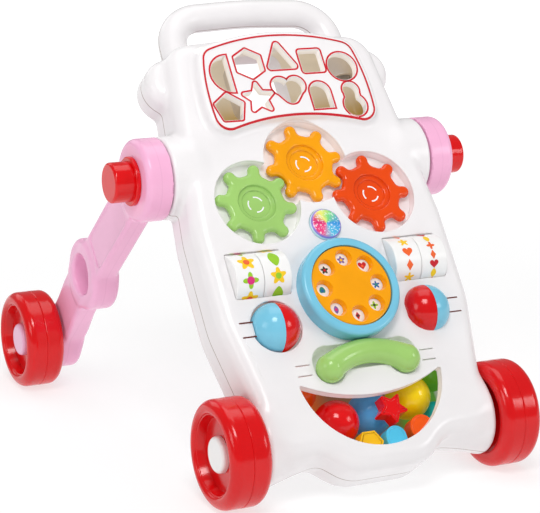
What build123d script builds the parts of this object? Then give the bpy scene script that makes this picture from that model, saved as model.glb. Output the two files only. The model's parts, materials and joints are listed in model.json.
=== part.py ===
from build123d import *
import math
import os

# Row frame: X to the viewer's right, Y back towards the child, Z up, floor at Z = 0, millimetres
# Body frame: u across the panel, s up its slope, w out of its face, origin on the front axle

# Stance
PANEL_TILT = 38.0
WHEEL_RADIUS = 55.0
WHEEL_WIDTH = 44.0
WHEELBASE = 450.0
FRONT_TRACK = 307.4
REAR_TRACK = 392.6

# Walls and fits
WALL = 3.0
RUN_FIT = 0.06
EASY_GAP = 0.6
NEAR = 0.05
SEAM_STEP = 0.8

# Body outline, half widths and slope positions
BELLY_S = -48.0
BELLY_HALF = 40.0
HIP_S = -24.0
HIP_HALF = 70.0
FOOT_HALF = 129.0
WAIST_S = 40.0
WAIST_HALF = 130.0
BODY_HALF = 144.0
BODY_LOW_S = 120.0
BODY_HIGH_S = 222.0
TOP_HALF = 120.0
TOP_CORNER_S = 438.0
TOP_S = 446.0
FRONT_DEPTH = 39.0
REAR_DEPTH = 32.0
FRONT_EDGE = 16.0
REAR_EDGE = 16.0

# Shoulder drums, ears, wheel arms and handle of the body
PIVOT_S = 301.0
DRUM_RADIUS = 43.0
DRUM_IN = 98.0
DRUM_OUT = 150.0
EAR_U = 114.0
EAR_S = 401.0
EAR_RADIUS = 29.0
EAR_HALF_DEPTH = 25.0
ARM_IN = 66.0
ARM_IN_RADIUS = 24.0
ARM_RADIUS = 41.0
HANDLE_HALF = 93.5
HANDLE_S = 490.5
HANDLE_DROP = 5.0
HANDLE_RADIUS = 15.5
HANDLE_CORNER = 37.0

# Shape sorter
PAD_RISE = 11.0
PAD_MARGIN = 6.0
PAD_LEDGE = 4.0
FRAME_TOP_S = 419.0
FRAME_TOP_HALF = 86.0
FRAME_LOW_S = 326.0
FRAME_LOW_HALF = 91.0
FRAME_SIDE_HALF = 93.5
FRAME_BOW = 15.0
HOLE_FLANGE = 1.6
HOLE_FLANGE_DEPTH = 6.0

# Gears
GEAR_TEETH = 8
GEAR_CENTRES = 78.8
GEAR_MIDDLE_S = 288.4
GEAR_DROP = 41.0
GEAR_TIP = 44.8
GEAR_THICK = 9.5
GEAR_POCKET = 12.5
GEAR_TURN = 7.0
GEAR_POST = 6.0

# Light button and dial
BUTTON_S = 214.5
BUTTON_RADIUS = 17.5
BUTTON_RISE = 4.5
BUTTON_TRAVEL = 3.0
DIAL_S = 138.4
DIAL_RADIUS = 54.0
DIAL_RISE = 18.0
DISC_RADIUS = 44.0
FINGER_PITCH = 31.0
FINGER_RADIUS = 7.0
FINGER_COUNT = 8

# Picture rollers and spinner balls
WINDOW_IN = 59.5
WINDOW_OUT = 122.0
ROLLER_S = 168.2
ROLLER_W = 28.0
ROLLER_RADIUS = 26.0
SPINNER_U = 86.7
SPINNER_S = 110.4
SPINNER_W = 34.0
SPINNER_RADIUS = 26.0
SPINNER_FLAT = 24.4
ROD_RADIUS = 2.5

# Handset and smile bin
HANDSET_HALF = 42.0
HANDSET_END_S = 60.0
HANDSET_TOP_S = 69.5
HANDSET_W = 42.0
GRIP_RADIUS = 13.5
CUP_RADIUS = 17.0
SMILE_HALF = 81.5
SMILE_S = 47.0
SMILE_UPPER_S = 27.0
SMILE_LOWER_S = -27.0
SMILE_LIP = 10.0

# Legs and clamp knobs
LEG_WIDTH = 50.0
LEG_IN = 152.0
LEG_OUT = 177.5
LEG_DRUM_OUT = 180.0
LEG_FOOT_IN = 146.0
LEG_FOOT_OUT = 172.5
LEG_FOOT_RADIUS = 37.0
RING_SHARE = 0.571
RING_RADIUS = 40.0
RING_HOLE = 18.5
RING_BEVEL = 6.0
RING_IN = 147.5
RING_OUT = 178.5
KNOB_RADIUS = 21.0
KNOB_FLANGE = 25.5
KNOB_LENGTH = 26.0
KNOB_SHANK = 9.0
PIN_RADIUS = 8.0
PIN_HEAD = 18.5

# Toys in the bin
BALL_RADIUS = 23.5
MIDDLE_BALL_RADIUS = 22.0
SMALL_BALL_RADIUS = 19.0
TINY_BALL_RADIUS = 16.0
BLOCK_DEPTH = 15.5

os.makedirs("parts", exist_ok=True)
tilt = math.radians(PANEL_TILT)
front_y = -WHEELBASE / 2
body = Plane(origin=(0, front_y, WHEEL_RADIUS), x_dir=(1, 0, 0), z_dir=(0, -math.cos(tilt), math.sin(tilt)))
panel_w = FRONT_DEPTH
inner_w = FRONT_DEPTH - WALL
pad_w = FRONT_DEPTH + PAD_RISE


def save(shape, name, plane=None):
    """Write one piece, moved from its own plane to the row frame."""
    placed = shape if plane is None else plane.location * shape
    solids = placed.solids()
    export_step(solids[0] if len(solids) == 1 else Compound(children=list(solids)), f"parts/{name}.step")


def ring_of(points, radii):
    """Closed outline with one corner radius at each point."""
    return make_face(FilletPolyline(*points, radius=radii, close=True))


def both_sides(half):
    """Right half of (u, s, radius) corners, from bottom to top, made whole about u = 0."""
    left = [(-u, s, r) for u, s, r in reversed(half) if u > 0]
    whole = half + left
    return ring_of([(u, s) for u, s, r in whole], [r for u, s, r in whole])


def plate(face, low, high):
    """Flat face raised from one height to another."""
    return Pos(0, 0, low) * extrude(face, high - low)


def rod(radius, start, end, s=0.0, w=0.0):
    """Round bar along u."""
    return Pos((start + end) / 2, s, w) * Rot(0, 90, 0) * Cylinder(radius, abs(end - start))


def round_ends(solid, axis, low, high):
    """Round the rims at the two ends of a solid along an axis."""
    if high > 0:
        solid = fillet(solid.faces().sort_by(axis)[-1].edges(), high)
    if low > 0:
        solid = fillet(solid.faces().sort_by(axis)[0].edges(), low)
    return solid


def pair(shape):
    """A piece and its mirror image about the middle of the body."""
    return shape + mirror(shape, Plane.YZ)


# Two shells of the body
outline = both_sides(
    [
        (BELLY_HALF, BELLY_S, 40),
        (HIP_HALF, HIP_S, 30),
        (FOOT_HALF, HIP_S, 31),
        (WAIST_HALF, WAIST_S, 80),
        (BODY_HALF, BODY_LOW_S, 120),
        (BODY_HALF, BODY_HIGH_S, 150),
        (TOP_HALF, TOP_CORNER_S, 31),
        (0, TOP_S, 400),
    ]
)


def slab(inset, depth, edge):
    """Half of the body between the parting plane and its face, with a rounded rim."""
    face = offset(outline, amount=-inset) if inset else outline
    return round_ends(extrude(face, depth), Axis.Z, 0, edge)


def lumps(inset):
    """Shoulder drums, wheel arms and ears of both sides."""
    drum = rod(DRUM_RADIUS - inset, DRUM_IN + inset, DRUM_OUT - inset, PIVOT_S)
    drum = round_ends(drum, Axis.X, 26 - inset, max(3.5 - inset, 0))
    arm_length = FOOT_HALF - inset - ARM_IN
    arm = Cone(ARM_IN_RADIUS - inset, ARM_RADIUS - inset, arm_length)
    arm = Pos(ARM_IN + arm_length / 2, 0, 0) * Rot(0, 90, 0) * round_ends(arm, Axis.Z, 0, 6 - inset)
    ear = Cylinder(EAR_RADIUS - inset, 2 * (EAR_HALF_DEPTH - inset))
    ear = Pos(EAR_U, EAR_S, 0) * round_ends(ear, Axis.Z, 13 - inset, 13 - inset)
    return pair(drum) + pair(arm) + pair(ear)


def handle_bar(inset):
    """Handle from the foot in one ear to the foot in the other."""
    path = FilletPolyline(
        (-HANDLE_HALF, EAR_S),
        (-HANDLE_HALF, HANDLE_S - HANDLE_DROP),
        (0, HANDLE_S),
        (HANDLE_HALF, HANDLE_S - HANDLE_DROP),
        (HANDLE_HALF, EAR_S),
        radius=[HANDLE_CORNER, 500, HANDLE_CORNER],
    )
    section = Plane(origin=path @ 0, z_dir=path % 0) * Circle(HANDLE_RADIUS - inset)
    return sweep(section, path=path)


front_half = Pos(0, 200, 150) * Box(600, 900, 300)
rear_half = Pos(0, 200, -150) * Box(600, 900, 300)
bulk = lumps(0)
hollow = lumps(WALL)
front_full = (slab(0, FRONT_DEPTH, FRONT_EDGE) + bulk) & front_half
front_void = slab(WALL, FRONT_DEPTH - WALL, FRONT_EDGE - WALL) + hollow
rear_full = (mirror(slab(SEAM_STEP, REAR_DEPTH, REAR_EDGE), Plane.XY) + bulk) & rear_half
rear_void = mirror(slab(SEAM_STEP + WALL, REAR_DEPTH - WALL, REAR_EDGE - WALL), Plane.XY) + hollow
handle = handle_bar(0)
handle_tube = handle - handle_bar(WALL)
front_shell = front_full - front_void - handle
rear_shell = rear_full - rear_void - handle
save(handle_tube & front_half, "handle_front", body)
save(handle_tube & rear_half, "handle_rear", body)

# Shape sorter plate
def disc_through(a, b, c, grow):
    """Disc whose rim passes through three points, grown by an amount."""
    arc = ThreePointArc(a, b, c)
    return Pos(arc.arc_center.X, arc.arc_center.Y) * Circle(arc.radius + grow)


def pad(extra):
    """Outline of the raised pad round the printed frame, grown by an extra amount."""
    grow = PAD_MARGIN + extra
    side_s = (FRAME_TOP_S + FRAME_LOW_S) / 2 + 4
    top_right = (FRAME_TOP_HALF, FRAME_TOP_S)
    low_right = (FRAME_LOW_HALF, FRAME_LOW_S)
    low_rise = FRAME_BOW + 2
    top = disc_through((-FRAME_TOP_HALF, FRAME_TOP_S), (0, FRAME_TOP_S + FRAME_BOW), top_right, grow)
    low = disc_through((-FRAME_LOW_HALF, FRAME_LOW_S), (0, FRAME_LOW_S + low_rise), low_right, -grow)
    side = disc_through(top_right, (FRAME_SIDE_HALF, side_s), low_right, grow)
    face = (top & side & mirror(side, Plane.YZ)) - low
    return fillet(face.vertices(), 15 + grow)


pad_seat = inner_w - 2.5


def regular(count, radius, turn, corner):
    """Regular polygon with rounded corners, one corner at the given turn."""
    steps = [math.radians(turn + 360 * k / count) for k in range(count)]
    return ring_of([(radius * math.cos(a), radius * math.sin(a)) for a in steps], [corner] * count)


def star(tip, dent, turn, corner):
    """Five-pointed star with rounded tips."""
    points = []
    for k in range(10):
        a = math.radians(turn + 36 * k)
        r = tip if k % 2 == 0 else dent
        points.append((r * math.cos(a), r * math.sin(a)))
    return ring_of(points, [corner] * 10)


def arch(half, base, top):
    """Square-footed window with a round head."""
    body_part = Pos(0, (base + top - half) / 2) * Rectangle(2 * half, top - half - base)
    return body_part + Pos(0, top - half) * Circle(half)


half_round = Pos(-62.5, 391) * (Circle(21.5) & Pos(-15, 0) * Rectangle(30, 60))
hexagon = Pos(-38, 401.5) * regular(6, 17.5, 90, 1)
triangle = Pos(0, 0) * ring_of([(0, 428), (18.5, 393), (-18.5, 393)], [3, 3, 3])
square = Pos(35.6, 400.5) * RectangleRounded(26, 27, 2.5)
circle = Pos(70, 391.5) * Circle(16.5)
pentagon = Pos(-73.5, 351) * regular(5, 17.5, 90, 1.5)
star_hole = Pos(-37.5, 360.5) * star(20.5, 9.5, 90, 1.5)
lobe = Circle(10.2)
heart_low = ring_of([(-18.2, 369.2), (0, 376), (18.2, 369.2), (0, 346.5)], [1, 1, 1, 9])
heart = Pos(-9, 372.6) * lobe + Pos(9, 372.6) * lobe + heart_low
arch_hole = Pos(35, 0) * arch(11.6, 343.5, 374.5)
peanut_neck = ring_of([(63, 352), (63, 362), (80, 362), (80, 352)], [1, 1, 1, 1])
peanut = Pos(71.5, 362.5) * Circle(9.2) + Pos(72, 344.5) * Circle(12.8) + peanut_neck
sorter_holes = [half_round, hexagon, triangle, square, circle, pentagon, star_hole, heart, arch_hole, peanut]

sorter_plate = plate(pad(0), pad_seat, pad_w)
sorter_plate = round_ends(sorter_plate, Axis.Z, 0, 5)
sorter_plate -= plate(pad(-WALL), pad_seat, pad_w - WALL)
for hole in sorter_holes:
    sorter_plate += plate(offset(hole, amount=HOLE_FLANGE), pad_w - WALL - HOLE_FLANGE_DEPTH, pad_w - WALL)
for hole in sorter_holes:
    sorter_plate -= plate(hole, pad_seat, pad_w + 1)
save(sorter_plate, "sorter_plate", body)

pad_rim = plate(pad(WALL), pad_seat - WALL, inner_w) & front_full
front_shell += pad_rim

# Gears in their pockets
gear_side = math.sqrt(GEAR_CENTRES**2 - GEAR_DROP**2)
gear_spots = [
    ("gear_orange", 0.0, GEAR_MIDDLE_S),
    ("gear_green", -gear_side, GEAR_MIDDLE_S - GEAR_DROP),
    ("gear_red", gear_side, GEAR_MIDDLE_S - GEAR_DROP),
]
pocket_radius = GEAR_TIP + 2.8
pocket_w = panel_w - GEAR_POCKET
tooth_step = 360 / GEAR_TEETH
line_left = 180 + math.degrees(math.asin(GEAR_DROP / GEAR_CENTRES))
line_right = 360 - math.degrees(math.asin(GEAR_DROP / GEAR_CENTRES))
gear_turns = [
    GEAR_TURN,
    (line_left - 180) - (GEAR_TURN + tooth_step / 2 - line_left),
    (line_right - 180) - (GEAR_TURN - line_right) + tooth_step / 2,
]
gear_root = GEAR_CENTRES - GEAR_TIP - 0.7


def gear_face(turn):
    """Toy gear with blunt round teeth."""
    points = []
    radii = []
    pitch = math.pi * GEAR_CENTRES / GEAR_TEETH
    for k in range(GEAR_TEETH):
        a = math.radians(turn + k * tooth_step)
        ca, sa = math.cos(a), math.sin(a)
        corners = [
            (gear_root * 0.985, -0.24 * pitch, 4.5),
            (GEAR_TIP, -0.165 * pitch, 5.0),
            (GEAR_TIP, 0.165 * pitch, 5.0),
            (gear_root * 0.985, 0.24 * pitch, 4.5),
        ]
        for r, across, corner in corners:
            points.append((r * ca - across * sa, r * sa + across * ca))
            radii.append(corner)
    return ring_of(points, radii)


slot = Circle(10.2) - Circle(8.4)
slot_bridge = Pos(10, 0) * Rectangle(20, 6.4)
slot -= slot_bridge + Rot(0, 0, 120) * slot_bridge + Rot(0, 0, 240) * slot_bridge
gear_low = pocket_w + 1.0
gear_top = gear_low + GEAR_THICK
gear_posts = []
for (name, u, s), turn in zip(gear_spots, gear_turns):
    gear = round_ends(plate(gear_face(turn), gear_low, gear_top), Axis.Z, 0, 2.8)
    gear -= plate(Circle(20.5), gear_top - 2.5, gear_top)
    gear -= plate(Circle(15), gear_top - 3.5, gear_top)
    gear -= plate(Circle(GEAR_POST + RUN_FIT), gear_low, gear_top - 5.0)
    gear -= plate(slot, gear_low, gear_top)
    save(Pos(u, s, 0) * gear, name, body)
    front_shell += Pos(u, s, 0) * plate(Circle(pocket_radius + WALL), pocket_w - WALL, panel_w)
    gear_posts.append(Pos(u, s, 0) * plate(Circle(GEAR_POST), pocket_w, gear_top - 5.5))
for name, u, s in gear_spots:
    front_shell -= Pos(u, s, 0) * plate(Circle(pocket_radius), pocket_w, panel_w + 1)
save(Compound(children=gear_posts), "gear_posts", body)
front_shell -= plate(pad(0.1), pad_seat, pad_w)
front_shell -= plate(pad(-PAD_LEDGE), pad_seat - 2 * WALL, pad_w)

# Light button, its switch board and speaker
front_shell -= Pos(0, BUTTON_S, 0) * plate(Circle(BUTTON_RADIUS + 0.5), inner_w - 1, panel_w + 1)
button = plate(Circle(BUTTON_RADIUS), inner_w - 3.0, panel_w + BUTTON_RISE)
button = round_ends(button, Axis.Z, 0, 4)
button += plate(Circle(BUTTON_RADIUS + 3), inner_w - 3.0, inner_w - 0.5)
save(Pos(0, BUTTON_S, 0) * button, "light_button", body)
board_w = inner_w - 3.0 - BUTTON_TRAVEL - 8.0
board = Pos(0, BUTTON_S - 20, board_w - 0.8) * Box(54, 80, 1.6)
switch = Pos(0, BUTTON_S, board_w + 3.5) * Box(9, 9, 7)
save(board + switch, "circuit_board", body)
board_posts = pair(Pos(20, BUTTON_S - 54, 0) * plate(Circle(3.2), board_w, inner_w + 0.5))
front_shell += board_posts
front_shell += pair(Pos(BUTTON_RADIUS + 6.5, BUTTON_S + 3, 0) * plate(Circle(3.2), board_w, inner_w + 0.5))
speaker = Pos(0, BUTTON_S - 36, board_w - 1.6) * Rot(180, 0, 0) * plate(Circle(17), 0, 4)
speaker += Pos(0, BUTTON_S - 36, board_w - 5.6) * Rot(180, 0, 0) * plate(Circle(10), 0, 6)
save(speaker, "speaker", body)

# Dial: ring with its floor, picture card, turning disc and spindle
disc_top = panel_w + DIAL_RISE - 1.0
disc_low = disc_top - 6.0
card_top = disc_low - EASY_GAP
dial_ring = round_ends(plate(Circle(DIAL_RADIUS), panel_w, panel_w + DIAL_RISE), Axis.Z, 0, 4)
dial_ring -= plate(Circle(DISC_RADIUS + EASY_GAP), card_top - 1.2, panel_w + DIAL_RISE + 1)
save(Pos(0, DIAL_S, 0) * dial_ring, "dial_ring", body)
spindle_radius = 5.0
card = plate(Circle(DISC_RADIUS) - Circle(spindle_radius), card_top - 1.2, card_top)
save(Pos(0, DIAL_S, 0) * card, "dial_card", body)
save(Pos(0, DIAL_S, 0) * plate(Circle(spindle_radius), card_top - 1.2, disc_top - 3), "dial_spindle", body)
disc = round_ends(plate(Circle(DISC_RADIUS), disc_low, disc_top), Axis.Z, 0, 1.8)
disc -= plate(Circle(spindle_radius + RUN_FIT), disc_low, disc_top - 2.5)
for k in range(FINGER_COUNT):
    a = math.radians(90 + 360 * k / FINGER_COUNT)
    spot = Pos(FINGER_PITCH * math.cos(a), FINGER_PITCH * math.sin(a), (disc_low + disc_top) / 2)
    disc -= spot * Cone(FINGER_RADIUS, FINGER_RADIUS + 2.2, disc_top - disc_low)
save(Pos(0, DIAL_S, 0) * disc, "dial_disc", body)

# Picture rollers on two rods
window_half = math.sqrt(ROLLER_RADIUS**2 - (inner_w - ROLLER_W) ** 2) + EASY_GAP
window = Pos((WINDOW_IN + WINDOW_OUT) / 2, ROLLER_S) * RectangleRounded(WINDOW_OUT - WINDOW_IN, 2 * window_half, 3)
front_shell -= pair(plate(window, inner_w - 1, panel_w + 1))
roller_width = (WINDOW_OUT - WINDOW_IN - 3 * EASY_GAP) / 2
roller_spots = [
    ("roller_outer_left", -WINDOW_OUT + EASY_GAP + roller_width / 2),
    ("roller_inner_left", -WINDOW_IN - EASY_GAP - roller_width / 2),
    ("roller_inner_right", WINDOW_IN + EASY_GAP + roller_width / 2),
    ("roller_outer_right", WINDOW_OUT - EASY_GAP - roller_width / 2),
]
for name, u in roller_spots:
    drum = round_ends(Cylinder(ROLLER_RADIUS, roller_width), Axis.Z, 1.2, 1.2)
    drum -= Cylinder(ROD_RADIUS + RUN_FIT, roller_width + 2)
    save(Pos(u, ROLLER_S, ROLLER_W) * Rot(0, 90, 0) * drum, name, body)
bracket_in = Pos(WINDOW_IN - 2.5, ROLLER_S, (ROLLER_W - 6 + inner_w) / 2) * Box(3, 14, inner_w + 1 - ROLLER_W + 6)
bracket_out = Pos(WINDOW_OUT + 2.5, ROLLER_S, (ROLLER_W - 6 + inner_w) / 2) * Box(3, 14, inner_w + 1 - ROLLER_W + 6)
roller_rod = rod(ROD_RADIUS, WINDOW_IN - 4, WINDOW_OUT + 4, ROLLER_S, ROLLER_W)
front_shell += pair((bracket_in + bracket_out) & front_full)
front_shell -= pair(rod(ROD_RADIUS + 0.02, WINDOW_IN - 8, WINDOW_OUT + 8, ROLLER_S, ROLLER_W))
save(pair(roller_rod), "roller_rods", body)

# Spinner balls in two colours, with a flat at the outer end under a spring tab
socket = Circle(SPINNER_RADIUS + 2.0) - Pos(SPINNER_FLAT + 8 + EASY_GAP, 0) * Rectangle(16, 13)
socket_cut = plate(socket, inner_w - 1, panel_w + 1)
front_shell -= pair(Pos(SPINNER_U, SPINNER_S, 0) * socket_cut)
slit = Pos(SPINNER_U + SPINNER_RADIUS + 5, SPINNER_S, inner_w + 1) * Box(14, 1.2, 8)
front_shell -= pair(Pos(0, 7.6, 0) * slit) + pair(Pos(0, -7.6, 0) * slit)
spinner_seam = math.degrees(math.asin(0.2 / SPINNER_RADIUS))
spinner_end = math.degrees(math.asin(SPINNER_FLAT / SPINNER_RADIUS))
spinner_bore = rod(ROD_RADIUS + RUN_FIT, -SPINNER_RADIUS, SPINNER_RADIUS)
spinner_out = Rot(0, 90, 0) * Sphere(SPINNER_RADIUS, spinner_seam, spinner_end, align=None)
spinner_out = spinner_out - rod(6.05, 0, 8.1) - spinner_bore
spinner_in = Rot(0, -90, 0) * Sphere(SPINNER_RADIUS, 0, spinner_end, align=None)
spinner_in = spinner_in + rod(6, -2, 8) - spinner_bore
right_spot = Pos(SPINNER_U, SPINNER_S, SPINNER_W)
for side, turn in (("right", 0), ("left", 1)):
    for part, shape in (("outer", spinner_out), ("inner", spinner_in)):
        placed = right_spot * shape
        save(mirror(placed, Plane.YZ) if turn else placed, f"spinner_{part}_{side}", body)
hanger_in = SPINNER_U - SPINNER_RADIUS - 2.5
hanger_out = SPINNER_U + SPINNER_RADIUS + 2.5
for u in (hanger_in, hanger_out):
    hanger = Pos(u, SPINNER_S, (SPINNER_W - 7 + inner_w) / 2) * Box(3, 13, inner_w + 1 - SPINNER_W + 7)
    front_shell += pair(hanger & front_full)
front_shell -= pair(rod(ROD_RADIUS + 0.02, hanger_in - 4, hanger_out + 4, SPINNER_S, SPINNER_W))
save(pair(rod(ROD_RADIUS, hanger_in - 1.5, hanger_out + 1.5, SPINNER_S, SPINNER_W)), "spinner_rods", body)


# Handset in its cradle
def handset_form(extra):
    """Straight grip between two blunt ends that point down the panel."""
    radius = CUP_RADIUS + extra
    low_s = HANDSET_END_S
    high_s = HANDSET_TOP_S - 3
    slant = radius * math.sqrt(0.5)
    profile = make_face(
        [
            Line((0, low_s - radius), (0, high_s + radius)),
            ThreePointArc((0, high_s + radius), (slant, high_s + slant), (radius, high_s)),
            Line((radius, high_s), (radius, low_s)),
            ThreePointArc((radius, low_s), (slant, low_s - slant), (0, low_s - radius)),
        ]
    )
    end = Pos(HANDSET_HALF, 0, 0) * revolve(profile, Axis.Y)
    grip = rod(GRIP_RADIUS + extra, -HANDSET_HALF, HANDSET_HALF, HANDSET_TOP_S)
    return Pos(0, 0, HANDSET_W) * (grip + pair(end))


save(handset_form(0), "handset", body)
front_shell += handset_form(EASY_GAP + WALL) & front_full
front_shell -= handset_form(EASY_GAP)
handset_slit = Pos(HANDSET_HALF + CUP_RADIUS + 12, HANDSET_END_S, inner_w + 1) * Box(16, 1.2, 8)
front_shell -= pair(Pos(0, 6, 0) * handset_slit) + pair(Pos(0, -5, 0) * handset_slit)

# Smile opening with its inner lip
smile = make_face(
    [
        ThreePointArc((-SMILE_HALF, SMILE_S), (0, SMILE_UPPER_S), (SMILE_HALF, SMILE_S)),
        ThreePointArc((SMILE_HALF, SMILE_S), (0, SMILE_LOWER_S), (-SMILE_HALF, SMILE_S)),
    ]
)
smile = fillet(smile.vertices(), 2)
front_shell += plate(offset(smile, amount=2.5), panel_w - SMILE_LIP, inner_w + 0.5) & front_full
front_shell -= plate(smile, panel_w - SMILE_LIP - 1, panel_w + 1)

# Rear shell: hand window, battery well with its door, screws
rear_shell -= plate(Pos(0, 407) * RectangleRounded(60, 70, 14), -REAR_DEPTH - 5, -6)
well_s = BUTTON_S + 3.5
well_half = 31.0
well_tall = 38.0
well_floor = -REAR_DEPTH + 18
rear_shell += Pos(0, well_s, (well_floor + 2 - REAR_DEPTH) / 2) * Box(2 * well_half + 10, well_tall + 10, 20) & rear_full
rear_shell -= Pos(0, well_s, (well_floor - REAR_DEPTH) / 2) * Box(2 * well_half, well_tall, 18)
rear_shell -= Pos(0, well_s, -REAR_DEPTH + 1.25) * Box(2 * well_half + 6, well_tall + 6, 2.5)
door = Pos(0, well_s, -REAR_DEPTH + 1.25) * Box(2 * well_half + 5.6, well_tall + 5.6, 2.5)
save(door, "battery_door", body)
cell = Cylinder(7.25, 49) + Pos(0, 0, 25) * Cylinder(2.7, 1.4)
cell = Rot(0, 90, 0) * cell
cells = [Pos(0, well_s + 8.6, well_floor - 7.25) * cell, Pos(0, well_s - 8.6, well_floor - 7.25) * Rot(0, 0, 180) * cell]
save(Compound(children=cells), "batteries", body)
screw_spots = [(108, 24), (BODY_HALF - 12, 128), (BODY_HALF - 16, 225), (TOP_HALF - 4, 352)]
screws = []
for u, s in screw_spots:
    spot = Pos(u, s, 0)
    front_shell += pair(spot * plate(Circle(5.2), 0, inner_w + 0.5) & front_full)
    front_shell -= pair(spot * plate(Circle(1.8), -1, 14))
    rear_shell += pair(spot * plate(Circle(6.5), -REAR_DEPTH, 0) & rear_full)
    rear_shell -= pair(spot * plate(Circle(1.8), -REAR_DEPTH, 1))
    rear_shell -= pair(spot * plate(Circle(4.2), -REAR_DEPTH - 1, -8))
    screw = spot * (plate(Circle(1.8), -8, 13) + plate(Circle(3.6), -10.5, -8))
    screws.extend([screw, mirror(screw, Plane.YZ)])
save(Compound(children=screws), "shell_screws", body)

# Axle and clamp sockets of the shells
axle_socket = rod(PIN_RADIUS + 5, FOOT_HALF - 16, FOOT_HALF)
axle_hole = rod(PIN_RADIUS + 0.02, FOOT_HALF - 20, FOOT_HALF + 5)
clamp_hole = rod(KNOB_SHANK + RUN_FIT, DRUM_OUT - 10, DRUM_OUT + 5, PIVOT_S)
front_shell = front_shell + (pair(axle_socket) & front_half) - pair(axle_hole) - pair(clamp_hole)
rear_shell = rear_shell + (pair(axle_socket) & rear_half) - pair(axle_hole) - pair(clamp_hole)
save(front_shell, "front_shell", body)
save(rear_shell, "rear_shell", body)
nut_face = regular(6, 17, 0, 1) - Circle(KNOB_SHANK + RUN_FIT)
nut = Pos(DRUM_OUT - WALL - 10, PIVOT_S, 0) * Rot(0, 90, 0) * extrude(nut_face, 10)
save(nut, "clamp_nut_right", body)
save(mirror(nut, Plane.YZ), "clamp_nut_left", body)

# Wheels of two halves, and their pins
wheel_half = WHEEL_WIDTH / 2
hub_bore = PIN_RADIUS + RUN_FIT


def wheel_side(dish, dish_radius):
    """One half of a wheel, turned about its axle, with a dished face."""
    r = WHEEL_RADIUS
    floor = wheel_half - dish
    points = [
        (r - 0.7, 0),
        (r, 0.9),
        (r, wheel_half),
        (dish_radius, wheel_half),
        (dish_radius - 4, floor),
        (hub_bore, floor),
        (hub_bore, floor - WALL),
        (dish_radius - 6, floor - WALL),
        (dish_radius - 2, wheel_half - WALL),
        (r - WALL, wheel_half - WALL),
        (r - WALL, 0),
    ]
    radii = [0, 0, 10, 4, 2, 0, 0, 1, 1, 6, 0]
    profile = Plane.XZ * ring_of(points, radii)
    return revolve(profile, Axis.Z)


wheel_outer = wheel_side(12, 42)
wheel_inner = mirror(wheel_side(5, 40), Plane.XY)
pin_seat = wheel_half - 12 + 0.4
pin_head = Pos(0, 0, pin_seat) * round_ends(plate(Circle(PIN_HEAD), 0, 7), Axis.Z, 0, 4)
pivot = body.from_local_coords(Vector(0, PIVOT_S, 0))
rear_y = WHEELBASE / 2


def wheel_set(corner, side, track, y, pin_in):
    """One wheel of two halves on its pin, right-hand side turned to +X."""
    spot = Pos(track / 2, y, WHEEL_RADIUS) * Rot(0, 90, 0)
    pin = pin_head + plate(Circle(PIN_RADIUS), pin_in - track / 2, pin_seat)
    pieces = ((f"wheel_{corner}_outer", wheel_outer), (f"wheel_{corner}_inner", wheel_inner), (f"axle_pin_{corner}", pin))
    for name, shape in pieces:
        placed = spot * shape
        save(mirror(placed, Plane.YZ) if side == "left" else placed, f"{name}_{side}")


for side in ("left", "right"):
    wheel_set("front", side, FRONT_TRACK, front_y, FOOT_HALF - 16)
    wheel_set("rear", side, REAR_TRACK, rear_y, LEG_FOOT_IN + WALL)

# Folding legs of two halves
leg_run = Vector(0, rear_y - pivot.Y, WHEEL_RADIUS - pivot.Z)
leg_length = leg_run.length
leg_plane = Plane(origin=(0, pivot.Y, pivot.Z), x_dir=leg_run, z_dir=(1, 0, 0))
ring_at = RING_SHARE * leg_length
bend_start = ring_at + RING_RADIUS
bend_end = leg_length - LEG_FOOT_RADIUS
leg_side = [
    (0, LEG_IN),
    (0, LEG_OUT),
    (bend_start, LEG_OUT),
    (bend_end, LEG_FOOT_OUT),
    (leg_length, LEG_FOOT_OUT),
    (leg_length, LEG_FOOT_IN),
    (bend_end, LEG_FOOT_IN),
    (bend_start, LEG_IN),
]


def leg_form(inset):
    """Leg as one body: clamp drum, cranked bar, ring and foot drum."""
    side_face = ring_of(leg_side, [0, 0, 40, 40, 0, 0, 40, 40])
    side_face = offset(side_face, amount=-inset) if inset else side_face
    bar_width = LEG_WIDTH - 2 * inset
    bar = Pos(0, bar_width / 2, 0) * Rot(90, 0, 0) * extrude(side_face, bar_width)
    drum = plate(Circle(DRUM_RADIUS - inset), LEG_IN + inset, LEG_DRUM_OUT - inset)
    drum = round_ends(drum, Axis.Z, 0, 7 - inset)
    ring = plate(Circle(RING_RADIUS - inset), RING_IN + inset, RING_OUT - inset)
    ring = round_ends(ring, Axis.Z, 5 - inset, 5 - inset)
    foot = plate(Circle(LEG_FOOT_RADIUS - inset), LEG_FOOT_IN + inset, LEG_FOOT_OUT - inset)
    foot = round_ends(foot, Axis.Z, 7 - inset, 0)
    return bar + drum + Pos(ring_at, 0, 0) * ring + Pos(leg_length, 0, 0) * foot


leg_void = leg_form(WALL)
leg = leg_form(0) - leg_void
ring_wall = plate(Circle(RING_HOLE + WALL), RING_IN + 1, RING_OUT - 1)
ring_wall += Pos(0, 0, RING_OUT - RING_BEVEL - 1) * plate(Circle(RING_HOLE + WALL + RING_BEVEL), 0, RING_BEVEL)
ring_hole = plate(Circle(RING_HOLE), RING_IN - 1, RING_OUT + 1)
ring_bevel = Pos(0, 0, RING_OUT) * Cone(RING_HOLE, RING_HOLE + 2 * RING_BEVEL, 2 * RING_BEVEL)
leg += Pos(ring_at, 0, 0) * ring_wall
leg -= Pos(ring_at, 0, 0) * (ring_hole + ring_bevel)
leg += Pos(leg_length, 0, 0) * plate(Circle(PIN_RADIUS + 5), LEG_FOOT_IN + 1, LEG_FOOT_OUT)
leg -= Pos(leg_length, 0, 0) * plate(Circle(PIN_RADIUS + 0.02), LEG_FOOT_IN + WALL, LEG_FOOT_OUT + 1)
leg -= plate(Circle(KNOB_SHANK + RUN_FIT), LEG_IN - 1, LEG_DRUM_OUT + 1)
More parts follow.
